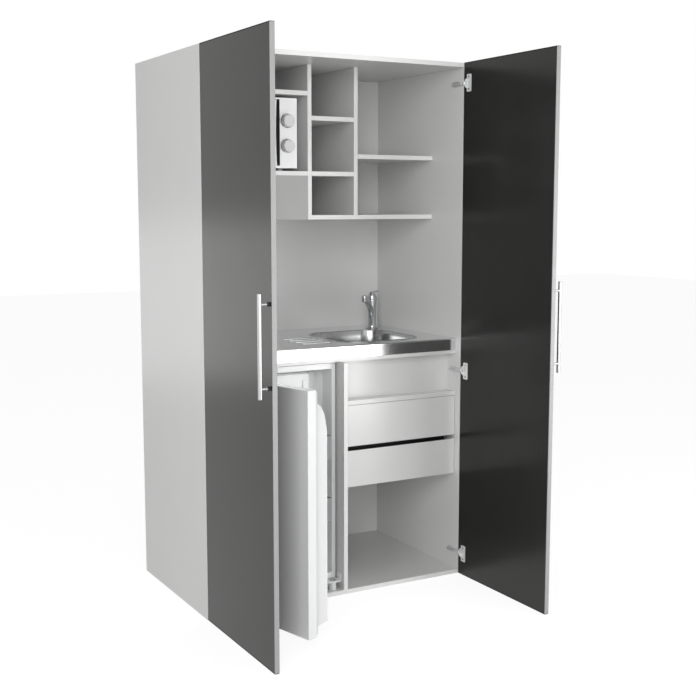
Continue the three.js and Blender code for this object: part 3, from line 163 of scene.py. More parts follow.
def curve_through(points, count):
    """Points along a smooth curve: each coordinate is a cubic blend of its four nearest given points."""
    given = np.asarray(points, float)
    padded = np.vstack([2 * given[0] - given[1], given, 2 * given[-1] - given[-2]])
    place = np.linspace(0, len(given) - 1, count)
    span = np.minimum(place.astype(int), len(given) - 2)
    t = (place - span)[:, None]
    a, b, c, d = (padded[span + k] for k in range(4))
    return 0.5 * (2 * b + (c - a) * t + (2 * a - 5 * b + 4 * c - d) * t**2 + (3 * b - a - 3 * c + d) * t**3)


def swept(path, across, widths, heights, sides=32, squareness=1.0):
    """A bar along a path that lies in one plane: each ring is an oval across the path, `widths` along the
    fixed direction `across` and `heights` along the normal in the plane. Squareness under 1 flattens the
    oval's sides."""
    path = np.asarray(path, float)
    across = np.asarray(across, float) / np.linalg.norm(across)
    along = np.gradient(path, axis=0)
    along /= np.linalg.norm(along, axis=1)[:, None]
    up = np.cross(along, across)
    angle = np.linspace(0, 2 * math.pi, sides, endpoint=False)
    wide = np.sign(np.cos(angle)) * np.abs(np.cos(angle)) ** squareness
    high = np.sign(np.sin(angle)) * np.abs(np.sin(angle)) ** squareness
    widths = np.broadcast_to(widths, len(path))[:, None, None]
    heights = np.broadcast_to(heights, len(path))[:, None, None]
    points = path[:, None] + across * widths * wide[:, None] + up[:, None] * heights * high[:, None]
    return surface(points, cap_first=True, cap_last=True)


def rounded_outline(x, y, radius, steps=10):
    """Points round a rectangle with round corners: four quarter circles, one after the other."""
    quarter = np.linspace(0, math.pi / 2, steps + 1)
    middles = (
        (x[1] - radius, y[0] + radius, 3), (x[1] - radius, y[1] - radius, 0),
        (x[0] + radius, y[1] - radius, 1), (x[0] + radius, y[0] + radius, 2),
    )
    arcs = []
    for middle_x, middle_y, k in middles:
        angle = quarter + k * math.pi / 2
        arcs.append(np.stack([middle_x + radius * np.cos(angle), middle_y + radius * np.sin(angle)], 1))
    return np.vstack(arcs)


def rounded_rings(rows, x, y, steps=10):
    """Rounded rectangles one over the other: each row gives how far its outline is drawn in from the
    rectangle, its height, and its corner radius."""
    rings = []
    for inset, height, radius in rows:
        outline = rounded_outline((x[0] + inset, x[1] - inset), (y[0] + inset, y[1] - inset), radius, steps)
        rings.append(np.column_stack([outline, np.full(len(outline), float(height))]))
    return np.array(rings)


def plate(x, y, z, radius, edge=0.4, steps=8):
    """A flat plate with round corners and softly broken edges."""
    rows = [(edge, z[0], radius - edge), (0, z[0] + edge, radius), (0, z[1] - edge, radius),
            (edge, z[1], radius - edge)]
    return surface(rounded_rings(rows, x, y, steps), cap_first=True, cap_last=True)


def bent_strip(path, thickness, z):
    """An upright strip: a path in plan, doubled at a distance along its normals, from z[0] up to z[1]."""
    path = np.asarray(path, float)
    along = np.gradient(path, axis=0)
    along /= np.linalg.norm(along, axis=1)[:, None]
    normal = np.stack([-along[:, 1], along[:, 0]], 1)
    return extruded(np.vstack([path, (path + thickness * normal)[::-1]]), z, 2)


# ---- Pieces -----------------------------------------------------------------------------------


FINISHES = {}
FORWARD = -0.9  # a face looks forwards if its normal's y is under this


def piece(name, shape, finish, body, replaces=(), sharp=38.0, front=None):
    """Makes a mesh piece from a surface in cabinet millimetres. Doubles merge, faces point outwards, and
    weighted normals keep flat faces flat. `front` is the finish of the faces that look forwards."""
    points, faces = shape
    mesh = bpy.data.meshes.new(name)
    mesh.from_pydata(((points - MIDDLE) * MM).tolist(), [], faces)
    work = bmesh.new()
    work.from_mesh(mesh)
    bmesh.ops.remove_doubles(work, verts=work.verts, dist=2e-6)
    bmesh.ops.recalc_face_normals(work, faces=work.faces)
    if front:
        for face in work.faces:
            face.material_index = int(face.normal.y < FORWARD)
    work.to_mesh(mesh)
    work.free()
    mesh.shade_smooth()
    mesh.set_sharp_from_angle(angle=math.radians(sharp))
    mesh.materials.append(FINISHES[finish])
    if front:
        mesh.materials.append(FINISHES[front])
    obj = bpy.data.objects.new(name, mesh)
    bpy.context.scene.collection.objects.link(obj)
    weighted = obj.modifiers.new("flat faces stay flat", "WEIGHTED_NORMAL")
    weighted.keep_sharp = True
    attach(obj, body)
    if replaces:
        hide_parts(*([replaces] if isinstance(replaces, str) else replaces))
    return obj


def cabinet_box(node):
    """A solid's lowest and highest corners in cabinet millimetres."""
    low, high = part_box(node)
    return np.array(low) / MM + MIDDLE, np.array(high) / MM + MIDDLE


def dress(node, finish):
    """Gives one of the model's own solids a finish."""
    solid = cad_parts[node]
    if not solid.material_slots:
        solid.data.materials.append(FINISHES[finish])
    for slot in solid.material_slots:
        slot.material = FINISHES[finish]
    return solid


def dress_soft(node, finish, radius=0.5, segments=2):
    """Gives a solid a finish and breaks its edges: loose triangles weld, flat faces join, and edges over 30
    degrees are rounded."""
    solid = dress(node, finish)
    weld = solid.modifiers.new("weld", "WELD")
    weld.merge_threshold = 1e-5
    flat = solid.modifiers.new("join flat faces", "DECIMATE")
    flat.decimate_type = "DISSOLVE"
    flat.angle_limit = math.radians(0.5)
    bevel = solid.modifiers.new("broken edges", "BEVEL")
    bevel.width = radius * MM
    bevel.segments = segments
    bevel.limit_method = "ANGLE"
    bevel.angle_limit = math.radians(30)
    bevel.use_clamp_overlap = True


# ---- Finishes ---------------------------------------------------------------------------------


def fill(node, **values):
    """Sets a node's input sockets; a space in a socket's name is written as an underscore."""
    for socket, value in values.items():
        node.inputs[socket.replace("_", " ")].default_value = value
    return node


class Finish:
    """A Principled material with noise on the object's own coordinates."""

    def __init__(self, name, colour, roughness, metallic=0.0, **sockets):
        self.material = bpy.data.materials.new(name)
        self.material.use_nodes = True
        self.nodes = self.material.node_tree.nodes
        self.links = self.material.node_tree.links
        self.shader = fill(self.nodes["Principled BSDF"], Base_Color=(*colour, 1.0), Roughness=roughness,
                           Metallic=metallic, **sockets)
        self.coordinates = self.nodes.new("ShaderNodeTexCoord")

    def noise(self, scale, stretch=(1, 1, 1), detail=2.0):
        """Noise in cycles per metre, stretched along the axes whose factor is under 1."""
        mapping = fill(self.nodes.new("ShaderNodeMapping"), Scale=stretch)
        texture = fill(self.nodes.new("ShaderNodeTexNoise"), Scale=scale, Detail=detail)
        self.links.new(self.coordinates.outputs["Object"], mapping.inputs["Vector"])
        self.links.new(mapping.outputs["Vector"], texture.inputs["Vector"])
        return texture.outputs["Fac"]

    def ranged(self, value, low, high):
        """Maps the middle half of a noise onto a range."""
        node = fill(self.nodes.new("ShaderNodeMapRange"), From_Min=0.3, From_Max=0.7, To_Min=low, To_Max=high)
        self.links.new(value, node.inputs["Value"])
        return node.outputs["Result"]

    def vary_roughness(self, value, low, high):
        self.links.new(self.ranged(value, low, high), self.shader.inputs["Roughness"])
        return self

    def vary_colour(self, value, first, second):
        mix = self.nodes.new("ShaderNodeMix")
        mix.data_type = "RGBA"
        fill(mix, A=(*first, 1.0), B=(*second, 1.0))
        self.links.new(self.ranged(value, 0.0, 1.0), mix.inputs["Factor"])
        self.links.new(mix.outputs["Result"], self.shader.inputs["Base Color"])
        return self

    def bump(self, value, height, strength=0.3):
        node = fill(self.nodes.new("ShaderNodeBump"), Strength=strength, Distance=height)
        self.links.new(value, node.inputs["Height"])
        self.links.new(node.outputs["Normal"], self.shader.inputs["Normal"])
        return self


def shaded(colour, factor):
    return tuple(min(1.0, c * factor) for c in colour)


def board_finish(name, colour, roughness, **sockets):
    """Melamine-faced board: nearly even white, with a fine pearl grain that breaks up its soft gloss."""
    finish = Finish(name, colour, roughness, **sockets)
    finish.vary_colour(finish.noise(5, detail=2), shaded(colour, 0.992), shaded(colour, 1.004))
    finish.vary_roughness(finish.noise(40), roughness - 0.015, roughness + 0.015)
    return finish.bump(finish.noise(100, detail=1), 0.00002, 0.15).material


def lacquer_finish(name, colour, roughness):
    """Polished lacquer: even and dark, with a slight waviness of the surface."""
    finish = Finish(name, colour, roughness, Specular_IOR_Level=0.28, Specular_Tint=(1.0, 1.0, 0.94, 1.0))
    finish.vary_colour(finish.noise(5, detail=3), shaded(colour, 0.95), shaded(colour, 1.05))
    finish.vary_roughness(finish.noise(8, detail=2), roughness - 0.01, roughness + 0.02)
    return finish.bump(finish.noise(90, detail=1), 0.000012, 0.2).material


def brushed_finish(name, colour, roughness, stretch):
    """Brushed metal: fine scratches, long along one axis, in tone, roughness and height."""
    finish = Finish(name, colour, roughness, metallic=1.0)
    scratches = finish.noise(700, stretch, detail=3)
    finish.vary_colour(scratches, shaded(colour, 0.96), shaded(colour, 1.03))
    finish.vary_roughness(scratches, roughness - 0.015, roughness + 0.02)
    return finish.bump(scratches, 0.000002, 0.1).material


def metal_finish(name, colour, low, high, scale=25, metallic=1.0):
    """Plain metal with clouds of slightly duller surface."""
    finish = Finish(name, colour, low, metallic=metallic)
    clouds = finish.noise(scale, detail=3)
    finish.vary_colour(clouds, shaded(colour, 0.985), shaded(colour, 1.01))
    return finish.vary_roughness(clouds, low, high).material


def moulded_finish(name, colour, roughness, grain=0.00002, **sockets):
    """Moulded or enamelled white: a faint cloudiness and a fine skin."""
    finish = Finish(name, colour, roughness, **sockets)
    finish.vary_colour(finish.noise(6, detail=2), shaded(colour, 0.99), shaded(colour, 1.005))
    finish.vary_roughness(finish.noise(30, detail=2), roughness - 0.015, roughness + 0.02)
    return finish.bump(finish.noise(90, detail=1), grain, 0.15).material


def enamel_finish(name, colour, roughness):
    """Stove enamel: an even gloss with a faint cloudiness of tone."""
    finish = Finish(name, colour, roughness)
    return finish.vary_colour(finish.noise(6, detail=2), shaded(colour, 0.99), shaded(colour, 1.005)).material


def rough_finish(name, colour, roughness, scale, height, **sockets):
    """Cast or matt surfaces: coarse grain in tone and height."""
    finish = Finish(name, colour, roughness, **sockets)
    grain = finish.noise(scale, detail=6)
    finish.vary_colour(grain, shaded(colour, 0.75), shaded(colour, 1.3))
    finish.vary_roughness(grain, roughness - 0.08, roughness + 0.08)
    return finish.bump(grain, height, 0.5).material


def glass_finish(name, colour):
    """Clear float glass with a greenish cast and faint smears."""
    finish = Finish(name, colour, 0.02, Transmission_Weight=1.0, IOR=1.5)
    return finish.vary_roughness(finish.noise(30, detail=4), 0.01, 0.05).material


def guard_finish(name, colour):
    """Cloudy clear plastic, which lets part of the light through."""
    finish = Finish(name, colour, 0.3, Transmission_Weight=0.45, IOR=1.46)
    return finish.vary_roughness(finish.noise(20), 0.26, 0.34).material


def window_finish(name, colour):
    """Dark glass over a punched screen: pale dots on an even grid show through."""
    finish = Finish(name, colour, 0.06, Coat_Weight=0.6, Coat_Roughness=0.03)
    dots = fill(finish.nodes.new("ShaderNodeTexVoronoi"), Scale=360, Randomness=0.0)
    finish.links.new(finish.coordinates.outputs["Object"], dots.inputs["Vector"])
    finish.vary_colour(dots.outputs["Distance"], shaded(colour, 3.0), colour)
    return finish.vary_roughness(finish.noise(20), 0.04, 0.08).material


def make_finishes(colours):
    """Makes every finish from the colours that a user may change."""
    white, dark, steel = tuple(colours.board), tuple(colours.door), tuple(colours.steel)
    appliance = tuple(colours.appliance)
    FINISHES.update(
        board=board_finish("white melamine board", shaded(white, 0.985), 0.32, Specular_IOR_Level=0.3),
        front=moulded_finish("satin white front", shaded(white, 0.96), 0.22, 0.000004, IOR=1.75),
        # The edge banding is a lighter white than the boards: painted light for the strong front light on the
        # boards' forward faces.
        banding=board_finish("white edge banding with painted light", shaded(white, 1.13), 0.24),
        grey_board=board_finish("pale grey melamine board", tuple(colours.blank), 0.4),
        lacquer=lacquer_finish("anthracite lacquer", dark, 0.22),
        door_edge=metal_finish("silver edge banding", tuple(colours.door_edge), 0.42, 0.48, 25, 0.3),
        worktop=brushed_finish("brushed steel, along x", steel, 0.11, (0.05, 1, 1)),
        bowl=metal_finish("satin steel", shaded(steel, 0.66), 0.2, 0.23, 40),
        bar=brushed_finish("brushed steel, along z", shaded(steel, 0.68), 0.32, (1, 1, 0.05)),
        chrome=metal_finish("chrome", tuple(colours.chrome), 0.04, 0.09),
        arm=metal_finish("dull nickel plate", shaded(steel, 0.86), 0.34, 0.42, 90, 0.45),
        steel_grey=metal_finish("dull steel", shaded(steel, 0.35), 0.35, 0.42, 90),
        nickel=metal_finish("nickel plate", shaded(steel, 1.22), 0.34, 0.4, 90, 0.35),
        # Whiter than the appliance white: painted light for the strong front light on the microwave oven.
        panel=moulded_finish("oven white with painted light", (0.97, 0.97, 0.97), 0.24),
        # A lighter copy of the appliance white: painted light that makes up for the open door's shade on the
        # refrigerator's front frame.
        gloss=moulded_finish("appliance white with painted light", shaded(appliance, 1.18), 0.22, IOR=1.6),
        dial=moulded_finish("pale grey moulding", shaded(appliance, 1.02), 0.35),
        guard=guard_finish("smoky clear plastic", (0.33, 0.35, 0.36)),
        iron=rough_finish("cast iron", (0.022, 0.022, 0.024), 0.62, 420, 0.00012),
        enamel=enamel_finish("white enamel", appliance, 0.26),
        moulding=moulded_finish("white moulding", shaded(appliance, 1.01), 0.34),
        seal=moulded_finish("soft grey seal", (0.62, 0.63, 0.64), 0.6),
        black=rough_finish("black plastic", (0.014, 0.014, 0.015), 0.4, 900, 0.00002),
        # Near-black: real print on the hob's dial marks, and painted shade on the strainer's holes, the
        # drawers' grip gap and the oven door's opening edge.
        shadow=rough_finish("black print and painted shade", (0.006, 0.006, 0.006), 0.5, 600, 0.00002,
                            Specular_IOR_Level=0.1),
        glass=glass_finish("clear glass", (0.86, 0.95, 0.92)),
        window=window_finish("dark oven glass", (0.012, 0.012, 0.013)),
        print=moulded_finish("grey dial print", (0.16, 0.165, 0.17), 0.5),
    )


# ---- User settings ----------------------------------------------------------------------------


def length(name, description, default):
    return bpy.props.FloatProperty(name=name, description=description, default=default * MM, min=0.0,
                                   unit="LENGTH", precision=4)


def colour(name, description, default):
    return bpy.props.FloatVectorProperty(name=name, description=description, default=default, size=3, min=0.0,
                                         max=1.0, subtype="COLOR")


class KitchenetteSizes(bpy.types.PropertyGroup):
    """Sizes of the fine pieces that a user may change."""

    board_edge: length("Board edge", "Rounding of the cabinet boards' edges", 0.6)
    door_band: length("Door banding", "How far the door's edge banding stands over its faces", 0.25)
    bar_diameter: length("Handle bar", "Diameter of the door handles' bars", 12.8)
    rib_height: length("Drainer rib", "Height of the pressed ribs beside the bowl", 2.9)


class KitchenetteColours(bpy.types.PropertyGroup):
    """Colours that a user may change, as light reflects from them."""

    board: colour("Boards", "Cabinet boards and drawer fronts", (0.72, 0.72, 0.714))
    blank: colour("Blank panel", "Grey panel under the microwave oven", (0.42, 0.42, 0.415))
    door: colour("Doors", "Lacquered faces of the cupboard doors", (0.02, 0.0202, 0.0196))
    door_edge: colour("Door edges", "Silver edge banding of the cupboard doors", (0.32, 0.32, 0.32))
    steel: colour("Steel", "Worktop, bowl and handles", (0.74, 0.75, 0.75))
    chrome: colour("Chrome", "Mixer tap", (0.54, 0.55, 0.56))
    appliance: colour("Appliances", "Refrigerator and microwave oven", (0.74, 0.745, 0.745))


# ---- Operators --------------------------------------------------------------------------------


class KITCHENETTE_OT_boards(bpy.types.Operator):
    """Makes the cabinet's boards with soft edges and banded fronts, the banding a lighter white as painted
    light
    """

    bl_idname = "kitchenette.boards"
    bl_label = "Cabinet boards"

    PLAIN = (
        "side_panel_left", "top_panel", "bottom_panel", "back_panel", "wall_unit_board", "wall_divider_left",
        "wall_divider_right", "shelf_over_microwave", "shelf_under_microwave", "shelf_middle_upper",
        "shelf_middle_lower", "shelf_right",
    )
    LIP = 1.4  # how far the blank panel's face stands before the board under it
    # The boards that keep their own shape, with the x and z of their front edges
    BANDED = {"side_panel_right": ((WIDTH - BOARD, WIDTH), (0.0, HEIGHT)),
              "base_divider": ((528.0, 544.0), (BOARD, 842.0))}
    BAND_SIDE, BAND_END, BAND_HALF = 0.2, 0.4, 0.4  # what a band leaves free, and half its thickness

    def execute(self, context):
        radius = context.scene.kitchenette_sizes.board_edge / MM
        # Each board's forward faces take the lighter banding white, which is painted light.
        for node in self.PLAIN:
            piece(f"{node}_board", rounded_box(*cabinet_box(node), radius), "board", "cabinet",
                  node, front="banding")
        # The blank panel hangs in front of the board under it, so its section is an L on its head
        low, high = cabinet_box("blank_panel")
        board_low = cabinet_box("wall_unit_board")[0]
        front, back = board_low[1] - self.LIP, board_low[1] - 0.1
        section = [(front, board_low[2]), (front, high[2]), (high[1], high[2]), (high[1], low[2]),
                   (back, low[2]), (back, board_low[2])]
        piece("blank_panel_board", extruded(section, (low[0], high[0]), 0), "grey_board", "cabinet",
              "blank_panel", sharp=20)
        for node in self.BANDED:
            dress_soft(node, "board", radius)
        dress_soft("sink_fascia", "front", radius)
        # The front edges of these boards get strips of the lighter banding white: painted light.
        for node, (x, z) in self.BANDED.items():
            strip = rounded_box((x[0] + self.BAND_SIDE, -self.BAND_HALF, z[0] + self.BAND_END),
                                (x[1] - self.BAND_SIDE, self.BAND_HALF, z[1] - self.BAND_END), 0.3, 2)
            piece(f"{node}_edge_band", strip, "banding", "cabinet")
        return {"FINISHED"}


class KITCHENETTE_OT_doors(bpy.types.Operator):
    """Finishes the cupboard doors and adds their edge banding"""

    bl_idname = "kitchenette.doors"
    bl_label = "Cupboard doors"

    ROUNDING, REACH_IN, CORNER = 1.2, 3.0, 3.0  # at each face, over the panel's rim, and in the outline

    def execute(self, context):
        # The band's section runs round the door's rim, flat over the edge with a small radius at each face
        inset = context.scene.kitchenette_sizes.door_band / MM - self.ROUNDING
        turn = np.linspace(0, math.pi / 2, 5)
        curve = self.ROUNDING * np.array([(math.sin(a), 1 - math.cos(a)) for a in turn])
        section = [(inset + a, DOOR_FRONT + b) for a, b in curve]
        section += [(inset + a, DOOR_BACK - b) for a, b in curve[::-1]]
        section += [(-self.REACH_IN, DOOR_BACK), (-self.REACH_IN, DOOR_FRONT)]
        rings = []
        for out, y in section:
            ring = rounded_outline((-out, DOOR_WIDTH + out), (DOOR_LOW - out, HEIGHT + out), self.CORNER, 4)
            rings.append(np.insert(ring, 1, y, axis=1))
        band = surface(rings, closed_rows=True)
        for name, side in SIDES.items():
            dress(f"{name}_door_panel", "lacquer")
            piece(f"{name}_door_edge_band", on_door(band, side), "door_edge", f"{name}_door")
        return {"FINISHED"}


def mirrored(shape, side):
    """The right door's pieces mirror the left door's across the cabinet's middle."""
    points, faces = shape
    if side < 0:
        points = points * (-1, 1, 1) + (WIDTH, 0, 0)
    return points, faces


def on_door(shape, side):
    """A piece of the left door as it lies shut, mirrored for the right door, and turned open."""
    pin = (HINGE_PIN_IN, HINGE_PIN_Y)
    return mirrored(moved(shape, turn=-90, about=pin), side)


class KITCHENETTE_OT_handles(bpy.types.Operator):
    """Makes the bar handles with their posts and black collars"""

    bl_idname = "kitchenette.handles"
    bl_label = "Bar handles"

    LENGTH, SPACING, REACH, FROM_EDGE, AT = 308.0, 246.0, 32.0, 16.5, 988.0
    ROUNDING = 1.6  # of the bar's ends
    POST = [(0, 0), (5.4, 0), (5.4, 11), (4.2, 11.6), (4.0, 12.4), (4.0, REACH - 3), (0, REACH - 3)]
    COLLAR = [(0, 0), (7.0, 0), (7.2, 0.3), (7.2, 1.0), (6.3, 1.6), (6.1, 9.2), (5.6, 9.8), (0, 9.8)]

    def execute(self, context):
        radius = context.scene.kitchenette_sizes.bar_diameter / MM / 2
        x, y = DOOR_WIDTH - self.FROM_EDGE, DOOR_FRONT - self.REACH
        half, r = self.LENGTH / 2, self.ROUNDING
        profile = [(0, half), (radius - r, half)]
        for a in np.linspace(0.2, math.pi / 2, 5):
            profile.append((radius - r + r * math.sin(a), half - r + r * math.cos(a)))
        profile += [(out, -h) for out, h in reversed(profile)]
        bar = facing(turned(profile, 40), (x, y, self.AT), "+z")
        posts, collars = (
            [facing(turned(part, 32), (x, at, self.AT + k * self.SPACING / 2), "-y") for k in (-1, 1)]
            for part, at in ((self.POST, DOOR_FRONT - 0.9), (self.COLLAR, DOOR_FRONT))
        )
        for name, side in SIDES.items():
            piece(f"{name}_bar_handle", on_door(together(bar, *posts), side), "bar", f"{name}_door",
                  f"{name}_door_handle")
            piece(f"{name}_handle_collars", on_door(together(*collars), side), "black", f"{name}_door")
        return {"FINISHED"}


def screw(radius=3.4, height=1.5, sides=32):
    """A countersunk screw head with a cross recess: a low dome whose middle sinks where the two slots run."""
    angle = np.linspace(0, 2 * math.pi, sides, endpoint=False)
    radii = np.array([0.0, 0.3, 0.55, 0.75, 1.0, 1.0]) * radius
    heights = np.array([height * 0.2, height * 0.25, height, height * 0.95, height * 0.5, -1.0])
    slots = np.abs(np.sin(2 * angle)) < 0.42
    rise = np.repeat(heights[:, None], sides, axis=1)
    rise[1:3, slots] = height * 0.2
    points = np.stack([radii[:, None] * np.cos(angle), radii[:, None] * np.sin(angle), rise], -1)
    return surface(points, cap_last=True)


class KITCHENETTE_OT_hinges(bpy.types.Operator):
    """Makes the concealed hinges' arms, finishes their cups and adds the screws"""

    bl_idname = "kitchenette.hinges"
    bl_label = "Concealed hinges"

    ARM_END, PLATE, ARM, ARM_HALF, PLATE_HALF = 60.0, 3.4, 10.5, 7.4, 9.4
    # The channel's places along y, each with the share of its full size
    CHANNEL = ((3, 0.8), (5, 0.95), (9, 1.0), (ARM_END - 5, 1.0), (ARM_END - 1.2, 0.96), (ARM_END, 0.82))
    NECK = ((1.6, -0.6), (8, -1.1), (12.6, 1.6), (14.6, 9))  # x and y from the pin
    EYE = [(1.3, -5.0), (1.3, 5.0), (2.5, 5.0), (2.6, 4.8), (2.6, -4.8), (2.5, -5.0)]
    CUP_SCREW_X, CUP_SCREW_Z, ARM_SCREWS_Y = 33.0, 22, (24.0, 37.0, 51.0)

    def arm(self, z):
        """A mounting plate on the board, a hollow channel over it, a swan neck and an eye round the pin."""
        face = BOARD + 0.05
        base = rounded_box((face, 24, z - self.PLATE_HALF),
                           (face + self.PLATE, self.ARM_END - 3, z + self.PLATE_HALF), 0.8, 3)
        # The channel's section is an arch of sheet metal, drawn in towards both its ends
        turn = np.linspace(-1, 1, 17)
        height = self.ARM * np.sqrt(np.clip(1 - np.abs(turn) ** 5, 0, 1))
        rings = []
        for y, share in self.CHANNEL:
            rise, width = face + 1.2 + (height - 1.2) * share, z + self.ARM_HALF * turn * share
            outer = np.stack([rise, np.full(17, y), width], 1)
            inner = outer[::-1].copy()
            inner[:, 0] = np.maximum(inner[:, 0] - 1.6, face + 1.0)
            inner[:, 2] = z + (inner[:, 2] - z) * 0.84
            rings.append(np.vstack([outer, inner]))
        channel = surface(rings, cap_first=True, cap_last=True)
        route = [(HINGE_PIN_IN + x, HINGE_PIN_Y + y, z) for x, y in self.NECK]
        route += [(face + self.ARM - 4, 4, z), (face + self.ARM - 3.2, 12, z)]
        neck = swept(curve_through(route, 28), (0, 0, 1), 5.0, 1.15, 24, 0.4)
        eye = moved(turned(self.EYE, 24, closed=True), (HINGE_PIN_IN, HINGE_PIN_Y, z))
        return together(base, channel, neck, eye)

    def execute(self, context):
        for name, side in SIDES.items():
            for level, z in HINGE_LEVELS.items():
                dress_soft(f"{name}_hinge_cup_{level}", "nickel", 0.25)
                arm = f"{name}_hinge_arm_{level}"
                piece(f"{arm}_pressing", mirrored(self.arm(z), side), "arm", "cabinet", arm)
                heads = [facing(screw(), (self.CUP_SCREW_X, DOOR_BACK + 1.4, z + k * self.CUP_SCREW_Z), "+y")
                         for k in (-1, 1)]
                piece(f"{name}_hinge_screws_{level}", on_door(together(*heads), side), "steel_grey",
                      f"{name}_door")
                fixing = [facing(screw(2.7, 0.9), (BOARD + self.ARM - 0.3, y, z), "+x")
                          for y in self.ARM_SCREWS_Y]
                piece(f"{arm}_screws", mirrored(together(*fixing), side), "steel_grey", "cabinet")
        return {"FINISHED"}


class KITCHENETTE_OT_worktop(bpy.types.Operator):
    """Finishes the steel worktop and adds its pressed drainer ribs"""

    bl_idname = "kitchenette.worktop"
    bl_label = "Steel worktop"

    RIBS, FIRST, SPACING, LENGTH, END, HALF_WIDTH = 4, 144.0, 53.0, 118.0, 556.0, 6.0

    def execute(self, context):
        dress_soft("worktop", "worktop", 0.3)
        height = context.scene.kitchenette_sizes.rib_height / MM
        # A rib is a long flat-topped dome: its height stays level and falls off steeply at its sides and ends
        u, v = (np.sin(np.linspace(-1, 1, count) * math.pi / 2) for count in (41, 17))
        uu, vv = np.meshgrid(u, v, indexing="ij")
        end = np.sqrt(np.clip(1 - np.abs(uu) ** 24, 0, 1))
        rise = np.sqrt(np.clip(1 - np.abs(vv) ** 3, 0, 1))
        x = self.END - self.LENGTH / 2 + (self.LENGTH / 2 + 1.5) * uu
        top, foot = WORKTOP + 0.05 + height * rise * end, np.full(x.shape, WORKTOP - 0.4)
        for i in range(self.RIBS):
            y = self.FIRST + i * self.SPACING + self.HALF_WIDTH * vv * end
            rib = together(*(surface(np.stack([x, y, z], -1), closed_columns=False) for z in (top, foot)))
            piece(f"drainer_rib_{i + 1}", rib, "worktop", "cabinet")
        return {"FINISHED"}


BOWL_X, BOWL_Y, BOWL_FLOOR = (588.0, 924.0), (94.0, 437.0), 750.0
BOWL_MIDDLE = (756.0, 265.5)


class KITCHENETTE_OT_sink(bpy.types.Operator):
    """Makes the pressed bowl and its strainer, and finishes the waste pipe"""

    bl_idname = "kitchenette.sink"
    bl_label = "Sink bowl and waste"

    # The bowl's inside: drawn in by, height over the worktop or the bowl's floor, and corner radius
    RIM = ((-6, 0.4, 88), (-5.6, 1.1, 87.6), (-4.8, 1.4, 87), (-1.5, 1.4, 83), (0.4, 0.9, 81.5),
           (1.8, -0.6, 80), (3.2, -3.5, 79), (5.2, -12, 77), (7.0, -28, 76), (8.4, -50, 75))
    FOOT = ((11, 58, 73), (14, 36, 70), (17.5, 23, 66.5), (23, 12.5, 62), (31, 6.8, 55), (42, 4.2, 46))
    HOLE = ((90, 3.2), (60, 2.0), (46, 1.0), (43, -0.2), (31, -1.0), (30.3, -2.0))  # radius, height
    SHEET = 0.8
    STRAINER = [(0, 9), (3.0, 9), (4.2, 8.2), (4.4, 6.0), (3.0, 2.0), (3.4, -4), (8, -5), (24, -5.2),
                (28, -2), (34, 2.6), (39, 3.4), (40, 2.9), (40, 1.2), (33, 0.4), (27.5, -4), (24, -7),
                (0, -7)]
    SPOT = [(0, 0.12), (1.5, 0.12), (1.6, 0), (0, 0)]

    def execute(self, context):
        middle_x, middle_y = BOWL_MIDDLE
        rows = [(i, base + z, r) for base, part in ((WORKTOP, self.RIM), (BOWL_FLOOR, self.FOOT))
                for i, z, r in part]
        outline = rounded_rings(rows, BOWL_X, BOWL_Y, 12)
        angle = np.arctan2(outline[-1, :, 1] - middle_y, outline[-1, :, 0] - middle_x)
        hole = [np.stack([middle_x + r * np.cos(angle), middle_y + r * np.sin(angle),
                          np.full(len(angle), BOWL_FLOOR + z)], 1) for r, z in self.HOLE]
        inside = np.vstack([outline, hole])
        outside = inside[::-1].copy()
        outside[:, :, 2] -= self.SHEET
        outside[-4:, :, 2] = WORKTOP + 0.25
        bowl = surface(np.vstack([inside, outside]), closed_rows=True)
        piece("pressed_bowl", bowl, "bowl", "cabinet", "sink_bowl")
        # The strainer is a dished disc with a raised knob in the middle and rings of holes, drawn as flat
        # black spots of painted shade
        dish = moved(turned(self.STRAINER, 48), (*BOWL_MIDDLE, BOWL_FLOOR))
        piece("strainer", dish, "chrome", "cabinet")
        spots = []
        for count, ring in ((8, 12.0), (14, 19.0)):
            for a in (2 * math.pi * k / count for k in range(count)):
                at = (middle_x + ring * math.cos(a), middle_y + ring * math.sin(a), BOWL_FLOOR - 5.1)
                spots.append(moved(turned(self.SPOT, 12), at))
        piece("strainer_hole_shade", together(*spots), "shadow", "cabinet")
        dress("sink_waste", "moulding")
        return {"FINISHED"}


TAP = np.array([922.0, 473.0, WORKTOP])


